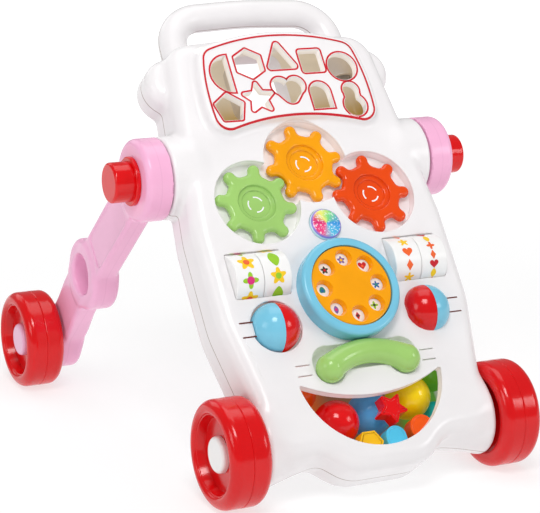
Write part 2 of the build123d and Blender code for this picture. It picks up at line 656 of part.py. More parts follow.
panel_runs = [(DRUM_RADIUS + 8, ring_at - RING_RADIUS - 8)]
for run_start, run_end in panel_runs:
    face = Pos((run_start + run_end) / 2, 0) * RectangleRounded(run_end - run_start, LEG_WIDTH - 12, 6)
    leg -= plate(face, LEG_OUT - 1.4, LEG_OUT + 1)
leg_mid = (LEG_IN + LEG_OUT) / 2
outer_side = Pos(leg_length / 2, 0, leg_mid + 50) * Box(leg_length + 200, 200, 100)
inner_side = Pos(leg_length / 2, 0, leg_mid - 50) * Box(leg_length + 200, 200, 100)
for name, half in (("outer", outer_side), ("inner", inner_side)):
    piece = leg_plane.location * (leg & half)
    save(piece, f"leg_{name}_right")
    save(mirror(piece, Plane.YZ), f"leg_{name}_left")

# Clamp knobs
knob = plate(Circle(KNOB_FLANGE), LEG_DRUM_OUT + 0.4, LEG_DRUM_OUT + 5)
knob = round_ends(knob, Axis.Z, 0, 1.5)
knob_end = LEG_DRUM_OUT + KNOB_LENGTH
grip = round_ends(plate(Circle(KNOB_RADIUS), LEG_DRUM_OUT + 4, knob_end), Axis.Z, 0, 3)
knob = knob + grip + plate(Circle(KNOB_SHANK), DRUM_OUT - WALL - 12, LEG_DRUM_OUT + 4)
knob = leg_plane.location * knob
save(knob, "lock_knob_right")
save(mirror(knob, Plane.YZ), "lock_knob_left")


# Toys in the bin: balls against the rear wall and each other, blocks behind the lip of the smile
def on_rear_wall(radius):
    """Height of the centre of a ball that lies on the rear wall."""
    return -REAR_DEPTH + WALL + radius + NEAR


lip_w = panel_w - SMILE_LIP - NEAR
first_ball = Vector(10, 20, on_rear_wall(BALL_RADIUS))


def beside(direction):
    """Centre of a ball that touches the first one in a given direction."""
    return first_ball + Vector(*direction).normalized() * (2 * BALL_RADIUS + NEAR)


def block(face, u, s, front_w):
    """Sorter block with its front face at a given height."""
    return Pos(u, s, front_w - BLOCK_DEPTH) * extrude(face, BLOCK_DEPTH)


star_w = first_ball.Z + BALL_RADIUS + 0.3 + BLOCK_DEPTH
save(block(star(18, 9, 54, 1.5), 17, 11.5, star_w), "block_star", body)
save(block(arch(11.3, -14, 14), 14, -20, lip_w), "block_arch", body)
save(block(regular(6, 14, 0, 1), -15.5, -20, lip_w), "block_hexagon", body)
save(block(Circle(13.5), 46, -12, lip_w), "block_round", body)
balls = [
    ("ball_blue", first_ball, BALL_RADIUS),
    ("ball_red", beside((-47, -8, 11)), BALL_RADIUS),
    ("ball_yellow", beside((47, 10, 7)), BALL_RADIUS),
    ("ball_teal", Vector(88, 9, on_rear_wall(TINY_BALL_RADIUS)), TINY_BALL_RADIUS),
    ("ball_green", Vector(96, 57, on_rear_wall(MIDDLE_BALL_RADIUS)), MIDDLE_BALL_RADIUS),
    ("ball_orange", Vector(-60, 53, on_rear_wall(SMALL_BALL_RADIUS)), SMALL_BALL_RADIUS),
]
for name, centre, radius in balls:
    save(Pos(centre.X, centre.Y, centre.Z) * Sphere(radius), name, body)
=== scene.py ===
"""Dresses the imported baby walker: soft skins, prints, plastics, lights and the photograph's camera."""

import json
import logging
import math
from contextlib import contextmanager
from dataclasses import dataclass, field
from enum import Enum, IntEnum
from typing import Callable, ClassVar, Iterable, Iterator, Sequence

import bmesh
import bpy
import numpy as np
from mathutils import Matrix, Vector


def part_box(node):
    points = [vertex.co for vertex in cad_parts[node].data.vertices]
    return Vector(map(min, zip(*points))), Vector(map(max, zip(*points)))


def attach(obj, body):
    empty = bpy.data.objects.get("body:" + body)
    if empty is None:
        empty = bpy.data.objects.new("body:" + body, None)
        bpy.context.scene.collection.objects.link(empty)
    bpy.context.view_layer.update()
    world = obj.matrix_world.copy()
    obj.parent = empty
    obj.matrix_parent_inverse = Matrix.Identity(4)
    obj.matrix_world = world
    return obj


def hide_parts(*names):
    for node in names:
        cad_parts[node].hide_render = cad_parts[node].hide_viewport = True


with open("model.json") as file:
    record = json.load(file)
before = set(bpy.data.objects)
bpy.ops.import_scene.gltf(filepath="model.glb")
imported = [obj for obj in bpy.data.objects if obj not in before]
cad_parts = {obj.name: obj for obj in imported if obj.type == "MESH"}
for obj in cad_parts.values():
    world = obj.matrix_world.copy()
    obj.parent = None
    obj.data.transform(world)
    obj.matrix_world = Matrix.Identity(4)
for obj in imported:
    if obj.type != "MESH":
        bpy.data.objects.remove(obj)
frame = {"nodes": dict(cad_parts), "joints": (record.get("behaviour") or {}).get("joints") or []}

MM = 0.001
TINY = 1e-12
LOG = logging.getLogger("walker")
JOINTS = {joint["name"]: joint for joint in frame["joints"]}
Colour = tuple[float, float, float]
Corner = tuple[float, float, float]
Distance = Callable[[np.ndarray], np.ndarray]

# Limits of the outline work: angle taken as straight, and the sharpest mitre of a moved outline
STRAIGHT = 1e-4
LEAST_MITRE = 0.8
# How far a lookup stays short of the last sample of a table
CELL_GUARD = 0.001
# Grid and height tolerance, in millimetres, when the rims of a CAD face are traced
RIM_GRID = 0.02
RIM_LEVEL = 0.03
# Meshing of a distance: half span of the differences, passes on to the surface, and a guard for flat spots
SLOPE_REACH = 0.3
SETTLE_PASSES = 3
FLAT_GUARD = 1e-9
# Plugs that cut holes: how much tighter than the hole, where the lip starts and bends, and the rise above it
PLUG_EASE = 0.05
LIP_START = 1.6
LIP_BEND = 0.5
LIP_FLARE = 0.3
PLUG_RISE = 30.0
# Prints laid on a skin: height that they drop from and the passes down to it
DRAPE_TOP = 62.0
DRAPE_PASSES = 40
# Moulded ridges: depth of their feet and the share of the width that each slope takes
RIDGE_FOOT = 0.3
RIDGE_SLOPE = 0.25


def shade(red: int, green: int, blue: int) -> Colour:
    """Linear colour of a screen colour.

    Args:
        red: red channel, 0 to 255.
        green: green channel, 0 to 255.
        blue: blue channel, 0 to 255.

    Returns:
        The three channels in linear light.
    """
    def linear(value: int) -> float:
        share = value / 255
        return share / 12.92 if share <= 0.04045 else ((share + 0.055) / 1.055) ** 2.4
    return linear(red), linear(green), linear(blue)


class Side(Enum):
    """Side of the walker, by the sign of X."""

    LEFT = -1
    RIGHT = 1

    @property
    def word(self) -> str:
        """Name used in the frame's nodes."""
        return self.name.lower()


class PanelFrame:
    """Tilted frame of the activity panel: u across, s up its slope, w out of its face, in millimetres."""

    def __init__(self) -> None:
        """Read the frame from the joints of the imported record."""
        axle = JOINTS["wheel_front_left_spin"]["pos_m"]
        self.across = Vector((1, 0, 0))
        self.normal = Vector(JOINTS["dial_turn"]["axis"]).normalized()
        self.slope = self.normal.cross(self.across)
        self.origin = Vector((0, axle[1], axle[2]))
        self.matrix = Matrix((self.across, self.slope, self.normal)).transposed()

    def place(self, points: np.ndarray) -> np.ndarray:
        """Row-frame metres of panel points.

        Args:
            points: rows of u, s, w in millimetres.

        Returns:
            Rows of X, Y, Z in metres.
        """
        return points @ np.array(self.matrix).T * MM + np.array(self.origin)

    def find(self, points: np.ndarray) -> np.ndarray:
        """Panel millimetres of row-frame points in metres."""
        return (points - np.array(self.origin)) @ np.array(self.matrix) / MM


PANEL = PanelFrame()


def mesh_piece(name: str, points: np.ndarray, faces: Iterable[Sequence[int]]) -> bpy.types.Object:
    """A new smooth-shaded mesh object.

    Args:
        name: piece name.
        points: rows of X, Y, Z, in row-frame metres for a piece that stays.
        faces: corner numbers of each face.

    Returns:
        The linked object.
    """
    mesh = bpy.data.meshes.new(name)
    mesh.from_pydata([tuple(p) for p in points], [], [tuple(f) for f in faces])
    mesh.validate()
    mesh.update()
    mesh.shade_smooth()
    piece = bpy.data.objects.new(name, mesh)
    bpy.context.scene.collection.objects.link(piece)
    return piece


def wall(low: int, count: int, turned: bool = False) -> list[tuple[int, ...]]:
    """Faces between a closed row of points and the row after it.

    Args:
        low: number of the first point.
        count: points in each row.
        turned: whether the faces look the other way.

    Returns:
        Corner numbers of each face.
    """
    faces = []
    for i in range(count):
        j = (i + 1) % count
        face = (low + i, low + j, low + count + j, low + count + i)
        faces.append((face[0], *face[:0:-1]) if turned else face)
    return faces


def unit(rows: np.ndarray) -> np.ndarray:
    """Rows scaled to length one."""
    return rows / (np.linalg.norm(rows, axis=1, keepdims=True) + TINY)


def ease(value: np.ndarray, low: float, high: float) -> np.ndarray:
    """Smooth step from 0 at low to 1 at high."""
    share = np.clip((value - low) / (high - low), 0, 1)
    return share * share * (3 - 2 * share)


def rounded(corners: Sequence[Corner], steps: int = 8) -> np.ndarray:
    """Closed outline with an arc at each corner.

    Args:
        corners: x, y and radius of each corner, in order.
        steps: spans of each arc.

    Returns:
        Points of the outline.
    """
    points = []
    count = len(corners)
    for i, (x, y, radius) in enumerate(corners):
        here = np.array((x, y))
        before = np.array(corners[i - 1][:2]) - here
        after = np.array(corners[(i + 1) % count][:2]) - here
        before = before / np.linalg.norm(before)
        after = after / np.linalg.norm(after)
        half = math.acos(np.clip(before @ after, -1, 1)) / 2
        if radius <= 0 or half > math.pi / 2 - STRAIGHT:
            points.append(here)
            continue
        reach = radius / math.tan(half)
        middle = here + (before + after) / np.linalg.norm(before + after) * radius / math.sin(half)
        start = here + before * reach - middle
        end = here + after * reach - middle
        turn = math.atan2(start[0] * end[1] - start[1] * end[0], start @ end)
        for k in range(steps + 1):
            a = turn * k / steps
            spin = np.array(((math.cos(a), -math.sin(a)), (math.sin(a), math.cos(a))))
            points.append(middle + spin @ start)
    return np.array(points)


def ring(radius: float, x: float = 0.0, y: float = 0.0, steps: int = 64) -> np.ndarray:
    """Points of a circle.

    Args:
        radius: circle radius.
        x: centre along the first axis.
        y: centre along the second axis.
        steps: number of points.

    Returns:
        Points of the outline.
    """
    angle = np.arange(steps) * 2 * math.pi / steps
    return np.stack((x + radius * np.cos(angle), y + radius * np.sin(angle)), axis=1)


def swell(outline: np.ndarray, amount: float) -> np.ndarray:
    """Outline moved outwards by an amount, for outlines that run anticlockwise.

    Args:
        outline: points of a closed outline.
        amount: distance, negative to shrink.

    Returns:
        The moved points.
    """
    ahead = unit(np.roll(outline, -1, axis=0) - outline)
    behind = unit(outline - np.roll(outline, 1, axis=0))
    along = ahead + behind
    mean = np.stack((along[:, 1], -along[:, 0]), axis=1)
    length = np.maximum(np.sum(mean * mean, axis=1, keepdims=True), LEAST_MITRE)
    return outline + 2 * mean / length * amount


class OutlineField:
    """Signed distance from a flat outline, looked up from a table of samples."""

    def __init__(self, outline: np.ndarray, margin: float = 70.0, step: float = 1.5) -> None:
        """Sample the distance round the outline.

        Args:
            outline: closed outline, u and s in millimetres.
            margin: room sampled round the outline.
            step: spacing of the samples.
        """
        self.low = outline.min(axis=0) - margin
        self.step = step
        counts = np.ceil((outline.max(axis=0) + margin - self.low) / step).astype(int) + 1
        axes = [self.low[i] + step * np.arange(counts[i]) for i in range(2)]
        spots = np.stack(np.meshgrid(*axes, indexing="ij"), axis=-1).reshape(-1, 2)
        self.table = self.measure(spots, outline).reshape(counts)

    @staticmethod
    def measure(spots: np.ndarray, outline: np.ndarray) -> np.ndarray:
        """Signed distance of each spot from the outline, negative inside."""
        nearest = np.full(len(spots), np.inf)
        inside = np.zeros(len(spots), bool)
        for a, b in zip(outline, np.roll(outline, -1, axis=0)):
            edge = b - a
            size = edge @ edge
            if size < TINY:
                continue
            share = np.clip((spots - a) @ edge / size, 0, 1)
            gap = spots - a - share[:, None] * edge
            nearest = np.minimum(nearest, np.einsum("ij,ij->i", gap, gap))
            crosses = (a[1] > spots[:, 1]) != (b[1] > spots[:, 1])
            if abs(edge[1]) > TINY:
                inside ^= crosses & (spots[:, 0] < edge[0] * (spots[:, 1] - a[1]) / edge[1] + a[0])
        return np.where(inside, -1, 1) * np.sqrt(nearest)

    def __call__(self, spots: np.ndarray) -> np.ndarray:
        """Distance at any spots, straight between the samples."""
        grid = (spots[:, :2] - self.low) / self.step
        grid = np.clip(grid, 0, np.array(self.table.shape) - 1 - CELL_GUARD)
        cell = grid.astype(int)
        share = grid - cell
        i, j = cell[:, 0], cell[:, 1]
        low = self.table[i, j] * (1 - share[:, 0]) + self.table[i + 1, j] * share[:, 0]
        high = self.table[i, j + 1] * (1 - share[:, 0]) + self.table[i + 1, j + 1] * share[:, 0]
        return low * (1 - share[:, 1]) + high * share[:, 1]


def rounded_rim(side: np.ndarray, end: np.ndarray, radius: float) -> np.ndarray:
    """Distance from a solid bounded by a side wall and an end face, with a rounded rim."""
    a = side + radius
    b = end + radius
    return np.minimum(np.maximum(a, b), 0) + np.hypot(np.maximum(a, 0), np.maximum(b, 0)) - radius


def melt(first: np.ndarray, second: np.ndarray, reach: float) -> np.ndarray:
    """Union of two distances with a soft fillet of the given reach."""
    share = np.maximum(reach - np.abs(first - second), 0) / reach
    return np.minimum(first, second) - share * share * reach / 4


def rise_of(solid: Distance, points: np.ndarray) -> np.ndarray:
    """Rise of a distance along each axis at points, by central differences."""
    offsets = np.eye(3) * SLOPE_REACH
    return np.stack([solid(points + o) - solid(points - o) for o in offsets], axis=1) / (2 * SLOPE_REACH)


def slope_of(solid: Distance, points: np.ndarray) -> np.ndarray:
    """Unit normals of a solid given by its distance, one row for each point."""
    return unit(rise_of(solid, points))


def surface_net(solid: Distance, low: Corner, high: Corner, step: float) -> tuple[np.ndarray, np.ndarray]:
    """Quads over the surface of a solid given by its distance.

    Args:
        solid: signed distance, negative inside.
        low: lowest corner of the searched box.
        high: highest corner of the searched box.
        step: cell size.

    Returns:
        Points on the surface and rows of four corner numbers.
    """
    axes = [np.arange(a, b + step, step) for a, b in zip(low, high)]
    nodes = np.stack(np.meshgrid(*axes, indexing="ij"), axis=-1)
    value = solid(nodes.reshape(-1, 3)).reshape(nodes.shape[:3])
    cells = tuple(n - 1 for n in value.shape)
    total = np.zeros((*cells, 3))
    hits = np.zeros(cells)
    for axis in range(3):
        others = [k for k in range(3) if k != axis]
        for bits in range(4):
            start = [0, 0, 0]
            start[others[0]], start[others[1]] = bits & 1, bits >> 1
            end = list(start)
            end[axis] = 1
            near = value[tuple(slice(o, o + c) for o, c in zip(start, cells))]
            far = value[tuple(slice(o, o + c) for o, c in zip(end, cells))]
            cut = (near < 0) != (far < 0)
            share = np.where(cut, near / np.where(cut, near - far, 1), 0)
            spot = nodes[tuple(slice(o, o + c) for o, c in zip(start, cells))].copy()
            spot[..., axis] += share * step
            total += np.where(cut[..., None], spot, 0)
            hits += cut
    active = hits > 0
    number = np.full(cells, -1)
    number[active] = np.arange(active.sum())
    points = total[active] / hits[active][:, None]
    quads = []
    for axis in range(3):
        others = [(axis + 1) % 3, (axis + 2) % 3]
        inner = [slice(1, c) for c in cells]
        inner[axis] = slice(0, cells[axis])
        ahead = list(inner)
        ahead[axis] = slice(1, cells[axis] + 1)
        near, far = value[tuple(inner)] < 0, value[tuple(ahead)] < 0
        spots = np.argwhere(near != far)
        base = spots + np.array([0 if k == axis else 1 for k in range(3)])
        corners = []
        for back in ((0, 0), (1, 0), (1, 1), (0, 1)):
            cell = base.copy()
            cell[:, others[0]] -= back[0]
            cell[:, others[1]] -= back[1]
            corners.append(number[tuple(cell.T)])
        quad = np.stack(corners, axis=1)
        outward = near[near != far]
        quads.append(np.where(outward[:, None], quad, quad[:, ::-1]))
    for _ in range(SETTLE_PASSES):
        slope = rise_of(solid, points)
        steepness = np.sum(slope * slope, axis=1, keepdims=True) + FLAT_GUARD
        points -= solid(points)[:, None] * slope / steepness
    return points, np.concatenate(quads)


def panel_points(node: str) -> np.ndarray:
    """Corner points of a CAD node in panel millimetres."""
    mesh = frame["nodes"][node].data
    flat = np.empty(3 * len(mesh.vertices))
    mesh.vertices.foreach_get("co", flat)
    return PANEL.find(flat.reshape(-1, 3))


def rim_loops(node: str, height: float) -> tuple[list[np.ndarray], list[np.ndarray]]:
    """Outlines of the flat face that a CAD node has at a height over the parting plane.

    Args:
        node: node name.
        height: w of the flat face.

    Returns:
        Outer outlines and hole outlines, each anticlockwise, u and s.
    """
    spots = panel_points(node)
    keys = [tuple(key) for key in np.round(spots[:, :2] / RIM_GRID).astype(int)]
    level = np.abs(spots[:, 2] - height) < RIM_LEVEL
    place = {}
    ahead: dict[tuple[int, int], set] = {}
    edges = set()
    for face in frame["nodes"][node].data.polygons:
        corners = list(face.vertices)
        if not all(level[c] for c in corners):
            continue
        for a, b in zip(corners, corners[1:] + corners[:1]):
            place[keys[a]] = spots[a, :2]
            if (keys[b], keys[a]) in edges:
                edges.remove((keys[b], keys[a]))
            elif keys[a] != keys[b]:
                edges.add((keys[a], keys[b]))
    for a, b in edges:
        ahead.setdefault(a, set()).add(b)
    loops = []
    while ahead:
        start = next(iter(sorted(ahead)))
        loop = [start]
        here = start
        while here in ahead:
            follow = ahead[here].pop()
            if not ahead[here]:
                del ahead[here]
            here = follow
            if here == start:
                break
            loop.append(here)
        loops.append(thinned(np.array([place[key] for key in loop])))
    areas = [area_of(loop) for loop in loops]
    main = max(areas, key=abs)
    outer = [loop if area > 0 else loop[::-1] for loop, area in zip(loops, areas) if area * main > 0]
    holes = [loop if area > 0 else loop[::-1] for loop, area in zip(loops, areas) if area * main < 0]
    return outer, holes


def thinned(outline: np.ndarray, least: float = 0.25) -> np.ndarray:
    """Outline without points that crowd the one before."""
    kept = [outline[0]]
    for point in outline[1:]:
        if np.linalg.norm(point - kept[-1]) >= least:
            kept.append(point)
    if len(kept) > 3 and np.linalg.norm(kept[-1] - kept[0]) < least:
        kept.pop()
    return np.array(kept)


def area_of(outline: np.ndarray) -> float:
    """Signed area of a closed outline."""
    after = np.roll(outline, -1, axis=0)
    return float(np.sum(outline[:, 0] * after[:, 1] - outline[:, 1] * after[:, 0]) / 2)


class CutSlot(IntEnum):
    """Material slots that tell the faces of a cut skin apart until it is finished."""

    FACE = 0
    WALL = 1
    END = 2


def add_cut_slots(piece: bpy.types.Object) -> None:
    """Give a mesh one empty material slot for each kind of face."""
    for _ in CutSlot:
        piece.data.materials.append(None)


def cutter(
    name: str, outlines: Sequence[np.ndarray], top: float, floor: float, lip: float
) -> bpy.types.Object:
    """Plugs that cut holes with a softened lip, in panel millimetres.

    Args:
        name: object name.
        outlines: anticlockwise hole outlines.
        top: height of the surface that is cut.
        floor: height of the plugs' ends.
        lip: how far the lip flares.

    Returns:
        One object with a plug for each outline, its walls and ends on their cut slots.
    """
    rings = [
        (floor, -PLUG_EASE),
        (top - LIP_START * lip, -PLUG_EASE),
        (top - LIP_BEND * lip, LIP_FLARE * lip),
        (top, lip),
        (top + PLUG_RISE, lip),
    ]
    points, faces, slots = [], [], []
    for outline in outlines:
        count = len(outline)
        first = len(points)
        for height, grow in rings:
            points.extend((u, s, height) for u, s in swell(outline, grow))
        for level in range(len(rings) - 1):
            faces.extend(wall(first + level * count, count))
            slots.extend([CutSlot.WALL] * count)
        faces.append(tuple(range(first + count - 1, first - 1, -1)))
        high = first + (len(rings) - 1) * count
        faces.append(tuple(range(high, high + count)))
        slots.extend([CutSlot.END] * 2)
    plug = mesh_piece(name, np.array(points), faces)
    add_cut_slots(plug)
    plug.data.polygons.foreach_set("material_index", slots)
    return plug


def bar_cutter(name: str, radius: float, start: float, end: float, s: float) -> bpy.types.Object:
    """Round plug along u through the parting plane, in panel millimetres, on its cut slots."""
    section = ring(radius, steps=48)
    count = len(section)
    points = [(u, s + a, b) for u in (start, end) for a, b in section]
    faces = [*wall(0, count), tuple(range(count - 1, -1, -1)), tuple(range(count, 2 * count))]
    plug = mesh_piece(name, np.array(points), faces)
    add_cut_slots(plug)
    plug.data.polygons.foreach_set("material_index", [CutSlot.WALL] * count + [CutSlot.END] * 2)
    return plug


def drop(piece: bpy.types.Object) -> None:
    """Remove a helper object and its mesh."""
    mesh = piece.data
    bpy.data.objects.remove(piece)
    bpy.data.meshes.remove(mesh)


def settled(piece: bpy.types.Object, name: str) -> bpy.types.Object:
    """Plain mesh object with a helper object's modifiers applied; the helper is removed.

    Args:
        piece: object with live modifiers.
        name: name of the result.

    Returns:
        The new object.
    """
    depsgraph = bpy.context.evaluated_depsgraph_get()
    mesh = bpy.data.meshes.new_from_object(piece.evaluated_get(depsgraph))
    drop(piece)
    mesh.name = name
    result = bpy.data.objects.new(name, mesh)
    bpy.context.scene.collection.objects.link(result)
    return result


def set_normals(piece: bpy.types.Object, normals: np.ndarray) -> None:
    """Give every face corner of a mesh its own normal."""
    piece.data.shade_smooth()
    piece.data.normals_split_custom_set([tuple(n) for n in normals])


def set_point_normals(piece: bpy.types.Object, normals: np.ndarray) -> None:
    """Give every face corner of a mesh the normal of its point."""
    set_normals(piece, np.array([normals[v] for face in piece.data.polygons for v in face.vertices]))


def panel_form(name: str, solid: Distance, low: Corner, high: Corner, step: float) -> bpy.types.Object:
    """Meshed solid that is given by its distance in panel millimetres.

    Args:
        name: piece name.
        solid: signed distance, negative inside.
        low: lowest corner of the searched box.
        high: highest corner of the searched box.
        step: cell size.

    Returns:
        The piece in row-frame metres, with the solid's own normals.
    """
    points, quads = surface_net(solid, low, high, step)
    piece = mesh_piece(name, PANEL.place(points), quads)
    set_point_normals(piece, slope_of(solid, points) @ np.array(PANEL.matrix).T)
    return piece


@contextmanager
def edited(piece: bpy.types.Object) -> Iterator[bmesh.types.BMesh]:
    """Open the mesh of a piece for edits and write them back."""
    work = bmesh.new()
    work.from_mesh(piece.data)
    yield work
    work.to_mesh(piece.data)
    work.free()


def trim(work: bmesh.types.BMesh, height: float, keep: int) -> None:
    """Cut a mesh at a height and keep what lies above, or below where keep is -1."""
    parts = [*work.verts, *work.edges, *work.faces]
    plane = {"plane_co": (0, 0, height), "plane_no": (0, 0, keep)}
    bmesh.ops.bisect_plane(work, geom=parts, clear_inner=True, **plane)


@dataclass
class BodyForm:
    """Outer form of the two shells, melted together like a moulded toy, in panel millimetres."""

    outline: tuple[Corner, ...] = (
        (40, -48, 40),
        (70, -24, 30),
        (129, -24, 31),
        (130, 40, 80),
        (144, 120, 120),
        (144, 222, 150),
        (120, 438, 31),
        (0, 446, 400),
    )
    front_depth: float = 39.0
    front_edge: float = 16.0
    rear_depth: float = 32.0
    rear_edge: float = 16.0
    pad_height: float = 50.0
    pad_low: float = 33.5
    flange_w: float = 41.0
    drum_s: float = 301.0
    drum_radius: float = 43.0
    drum_in: float = 98.0
    drum_out: float = 150.0
    drum_rim: float = 3.5
    drum_tail: float = 26.0
    drum_melt: float = 5.0
    ear_u: float = 114.0
    ear_s: float = 401.0
    ear_radius: float = 29.0
    ear_half: float = 25.0
    ear_rim: float = 13.0
    ear_melt: float = 5.0
    arm_in: float = 66.0
    arm_out: float = 129.0
    arm_in_radius: float = 24.0
    arm_radius: float = 41.0
    arm_lean: float = 0.966
    arm_rim: float = 6.0
    arm_melt: float = 10.0
    handle_half: float = 93.5
    handle_s: float = 490.5
    handle_drop: float = 5.0
    handle_bow: float = 500.0
    handle_radius: float = 15.5
    handle_corner: float = 37.0
    handle_melt: float = 5.0
    pad_rim: float = 5.0
    pad_melt: float = 8.0
    pad_margin: float = 40.0
    arc_steps: int = 12
    skin: float = 0.25
    sink: float = 0.6
    fade_start: float = 445.0
    fade_end: float = 460.0
    edge: OutlineField = field(init=False)
    loop: OutlineField = field(init=False)
    pad: OutlineField = field(init=False)

    def __post_init__(self) -> None:
        """Sample the flat outlines once."""
        left = [(-u, s, r) for u, s, r in reversed(self.outline) if u > 0]
        self.edge = OutlineField(rounded([*self.outline, *left], self.arc_steps))
        high = self.handle_s - self.handle_drop
        handle = [
            (self.handle_half, self.ear_s, 0),
            (self.handle_half, high, self.handle_corner),
            (0, self.handle_s, self.handle_bow),
            (-self.handle_half, high, self.handle_corner),
            (-self.handle_half, self.ear_s, 0),
        ]
        self.loop = OutlineField(rounded(handle, self.arc_steps))
        outer, _ = rim_loops("sorter_plate", self.pad_low)
        self.pad = OutlineField(max(outer, key=area_of), self.pad_margin)

    def lumps(self, solid: np.ndarray, points: np.ndarray) -> np.ndarray:
        """Melt the drums, ears, arms and handle into a slab."""
        u, s, w = np.abs(points[:, 0]), points[:, 1], np.abs(points[:, 2])
        round_drum = np.hypot(s - self.drum_s, w) - self.drum_radius
        drum = np.maximum(
            rounded_rim(round_drum, u - self.drum_out, self.drum_rim),
            rounded_rim(round_drum, self.drum_in - u, self.drum_tail),
        )
        share = (u - self.arm_in) / (self.arm_out - self.arm_in)
        cone = np.hypot(s, w) - self.arm_in_radius - share * (self.arm_radius - self.arm_in_radius)
        arm = rounded_rim(self.arm_lean * cone, u - self.arm_out, self.arm_rim)
        arm = np.maximum(arm, self.arm_in - u)
        round_ear = np.hypot(u - self.ear_u, s - self.ear_s) - self.ear_radius
        ear = rounded_rim(round_ear, w - self.ear_half, self.ear_rim)
        handle = np.hypot(self.loop(points), w) - self.handle_radius
        solid = melt(solid, drum, self.drum_melt)
        solid = melt(solid, arm, self.arm_melt)
        solid = melt(solid, ear, self.ear_melt)
        return melt(solid, handle, self.handle_melt)

    def lift(self, points: np.ndarray) -> np.ndarray:
        """Height of the skin over the solids, sinking under them along the handle."""
        share = np.clip((points[:, 1] - self.fade_start) / (self.fade_end - self.fade_start), 0, 1)
        return self.skin - share * (self.skin + self.sink)

    def front(self, points: np.ndarray) -> np.ndarray:
        """Distance from the front skin."""
        w = np.abs(points[:, 2])
        slab = rounded_rim(self.edge(points), w - self.front_depth, self.front_edge)
        pad = rounded_rim(self.pad(points), w - self.pad_height, self.pad_rim)
        return melt(self.lumps(slab, points), pad, self.pad_melt) - self.lift(points)

    def rear(self, points: np.ndarray) -> np.ndarray:
        """Distance from the rear skin, mirrored so that w runs out of the back."""
        w = np.abs(points[:, 2])
        slab = rounded_rim(self.edge(points), w - self.rear_depth, self.rear_edge)
        return self.lumps(slab, points) - self.lift(points)


@dataclass
class ShellSkin:
    """One moulded skin over a shell, with its holes cut."""

    name: str
    solid: Distance
    tall: float
    plugs: Sequence[bpy.types.Object]
    turned: bool = False
    step: float = 2.5
    half: float = 172.0
    low_s: float = -78.0
    high_s: float = 515.0
    under: float = 5.0
    hidden_s: float = 466.0

    def build(self) -> bpy.types.Object:
        """Mesh the form, cut it and set it in the row frame.

        Returns:
            The skin in row-frame metres.
        """
        low = (-self.half, self.low_s, -self.under)
        high = (self.half, self.high_s, self.tall)
        points, quads = surface_net(self.solid, low, high, self.step)
        blank = mesh_piece(self.name + "_blank", points, quads)
        add_cut_slots(blank)
        self.close_base(blank)
        for plug in self.plugs:
            cut = blank.modifiers.new("cut", "BOOLEAN")
            cut.operation = "DIFFERENCE"
            cut.solver = "EXACT"
            cut.object = plug
        skin = settled(blank, self.name)
        for plug in self.plugs:
            drop(plug)
        self.strip(skin)
        self.shape_normals(skin)
        return skin

    @staticmethod
    def close_base(blank: bpy.types.Object) -> None:
        """Cut the form at the parting plane and close it there."""
        with edited(blank) as work:
            trim(work, 0.0, 1)
            rim = [edge for edge in work.edges if edge.is_boundary]
            made = bmesh.ops.triangle_fill(work, edges=rim, normal=(0, 0, -1))
            for face in made["geom"]:
                if isinstance(face, bmesh.types.BMFace):
                    face.material_index = CutSlot.END
            bmesh.ops.recalc_face_normals(work, faces=work.faces)

    def strip(self, skin: bpy.types.Object) -> None:
        """Remove the base, the plugs' ends and what lies under the handle."""
        with edited(skin) as work:
            doomed = []
            for face in work.faces:
                middle = face.calc_center_median()
                if face.material_index == CutSlot.END or middle.y > self.hidden_s:
                    doomed.append(face)
            bmesh.ops.delete(work, geom=doomed, context="FACES")

    def shape_normals(self, skin: bpy.types.Object) -> None:
        """Smooth normals from the form itself, then the move to the row frame."""
        mesh = skin.data
        spots = np.array([v.co for v in mesh.vertices], float)
        slopes = slope_of(self.solid, spots)
        walls = np.zeros_like(spots)
        for face in mesh.polygons:
            if face.material_index == CutSlot.WALL:
                walls[list(face.vertices)] += np.array(face.normal) * face.area
        walls = unit(walls)
        if self.turned:
            for table in (spots, slopes, walls):
                table[:, 2] *= -1
            mesh.flip_normals()
        rows = []
        for face in mesh.polygons:
            source = walls if face.material_index == CutSlot.WALL else slopes
            rows.extend(source[v] for v in face.vertices)
        mesh.vertices.foreach_set("co", PANEL.place(spots).ravel())
        mesh.polygons.foreach_set("material_index", [CutSlot.FACE] * len(mesh.polygons))
        mesh.materials.clear()
        mesh.update()
        set_normals(skin, np.array(rows) @ np.array(PANEL.matrix).T)


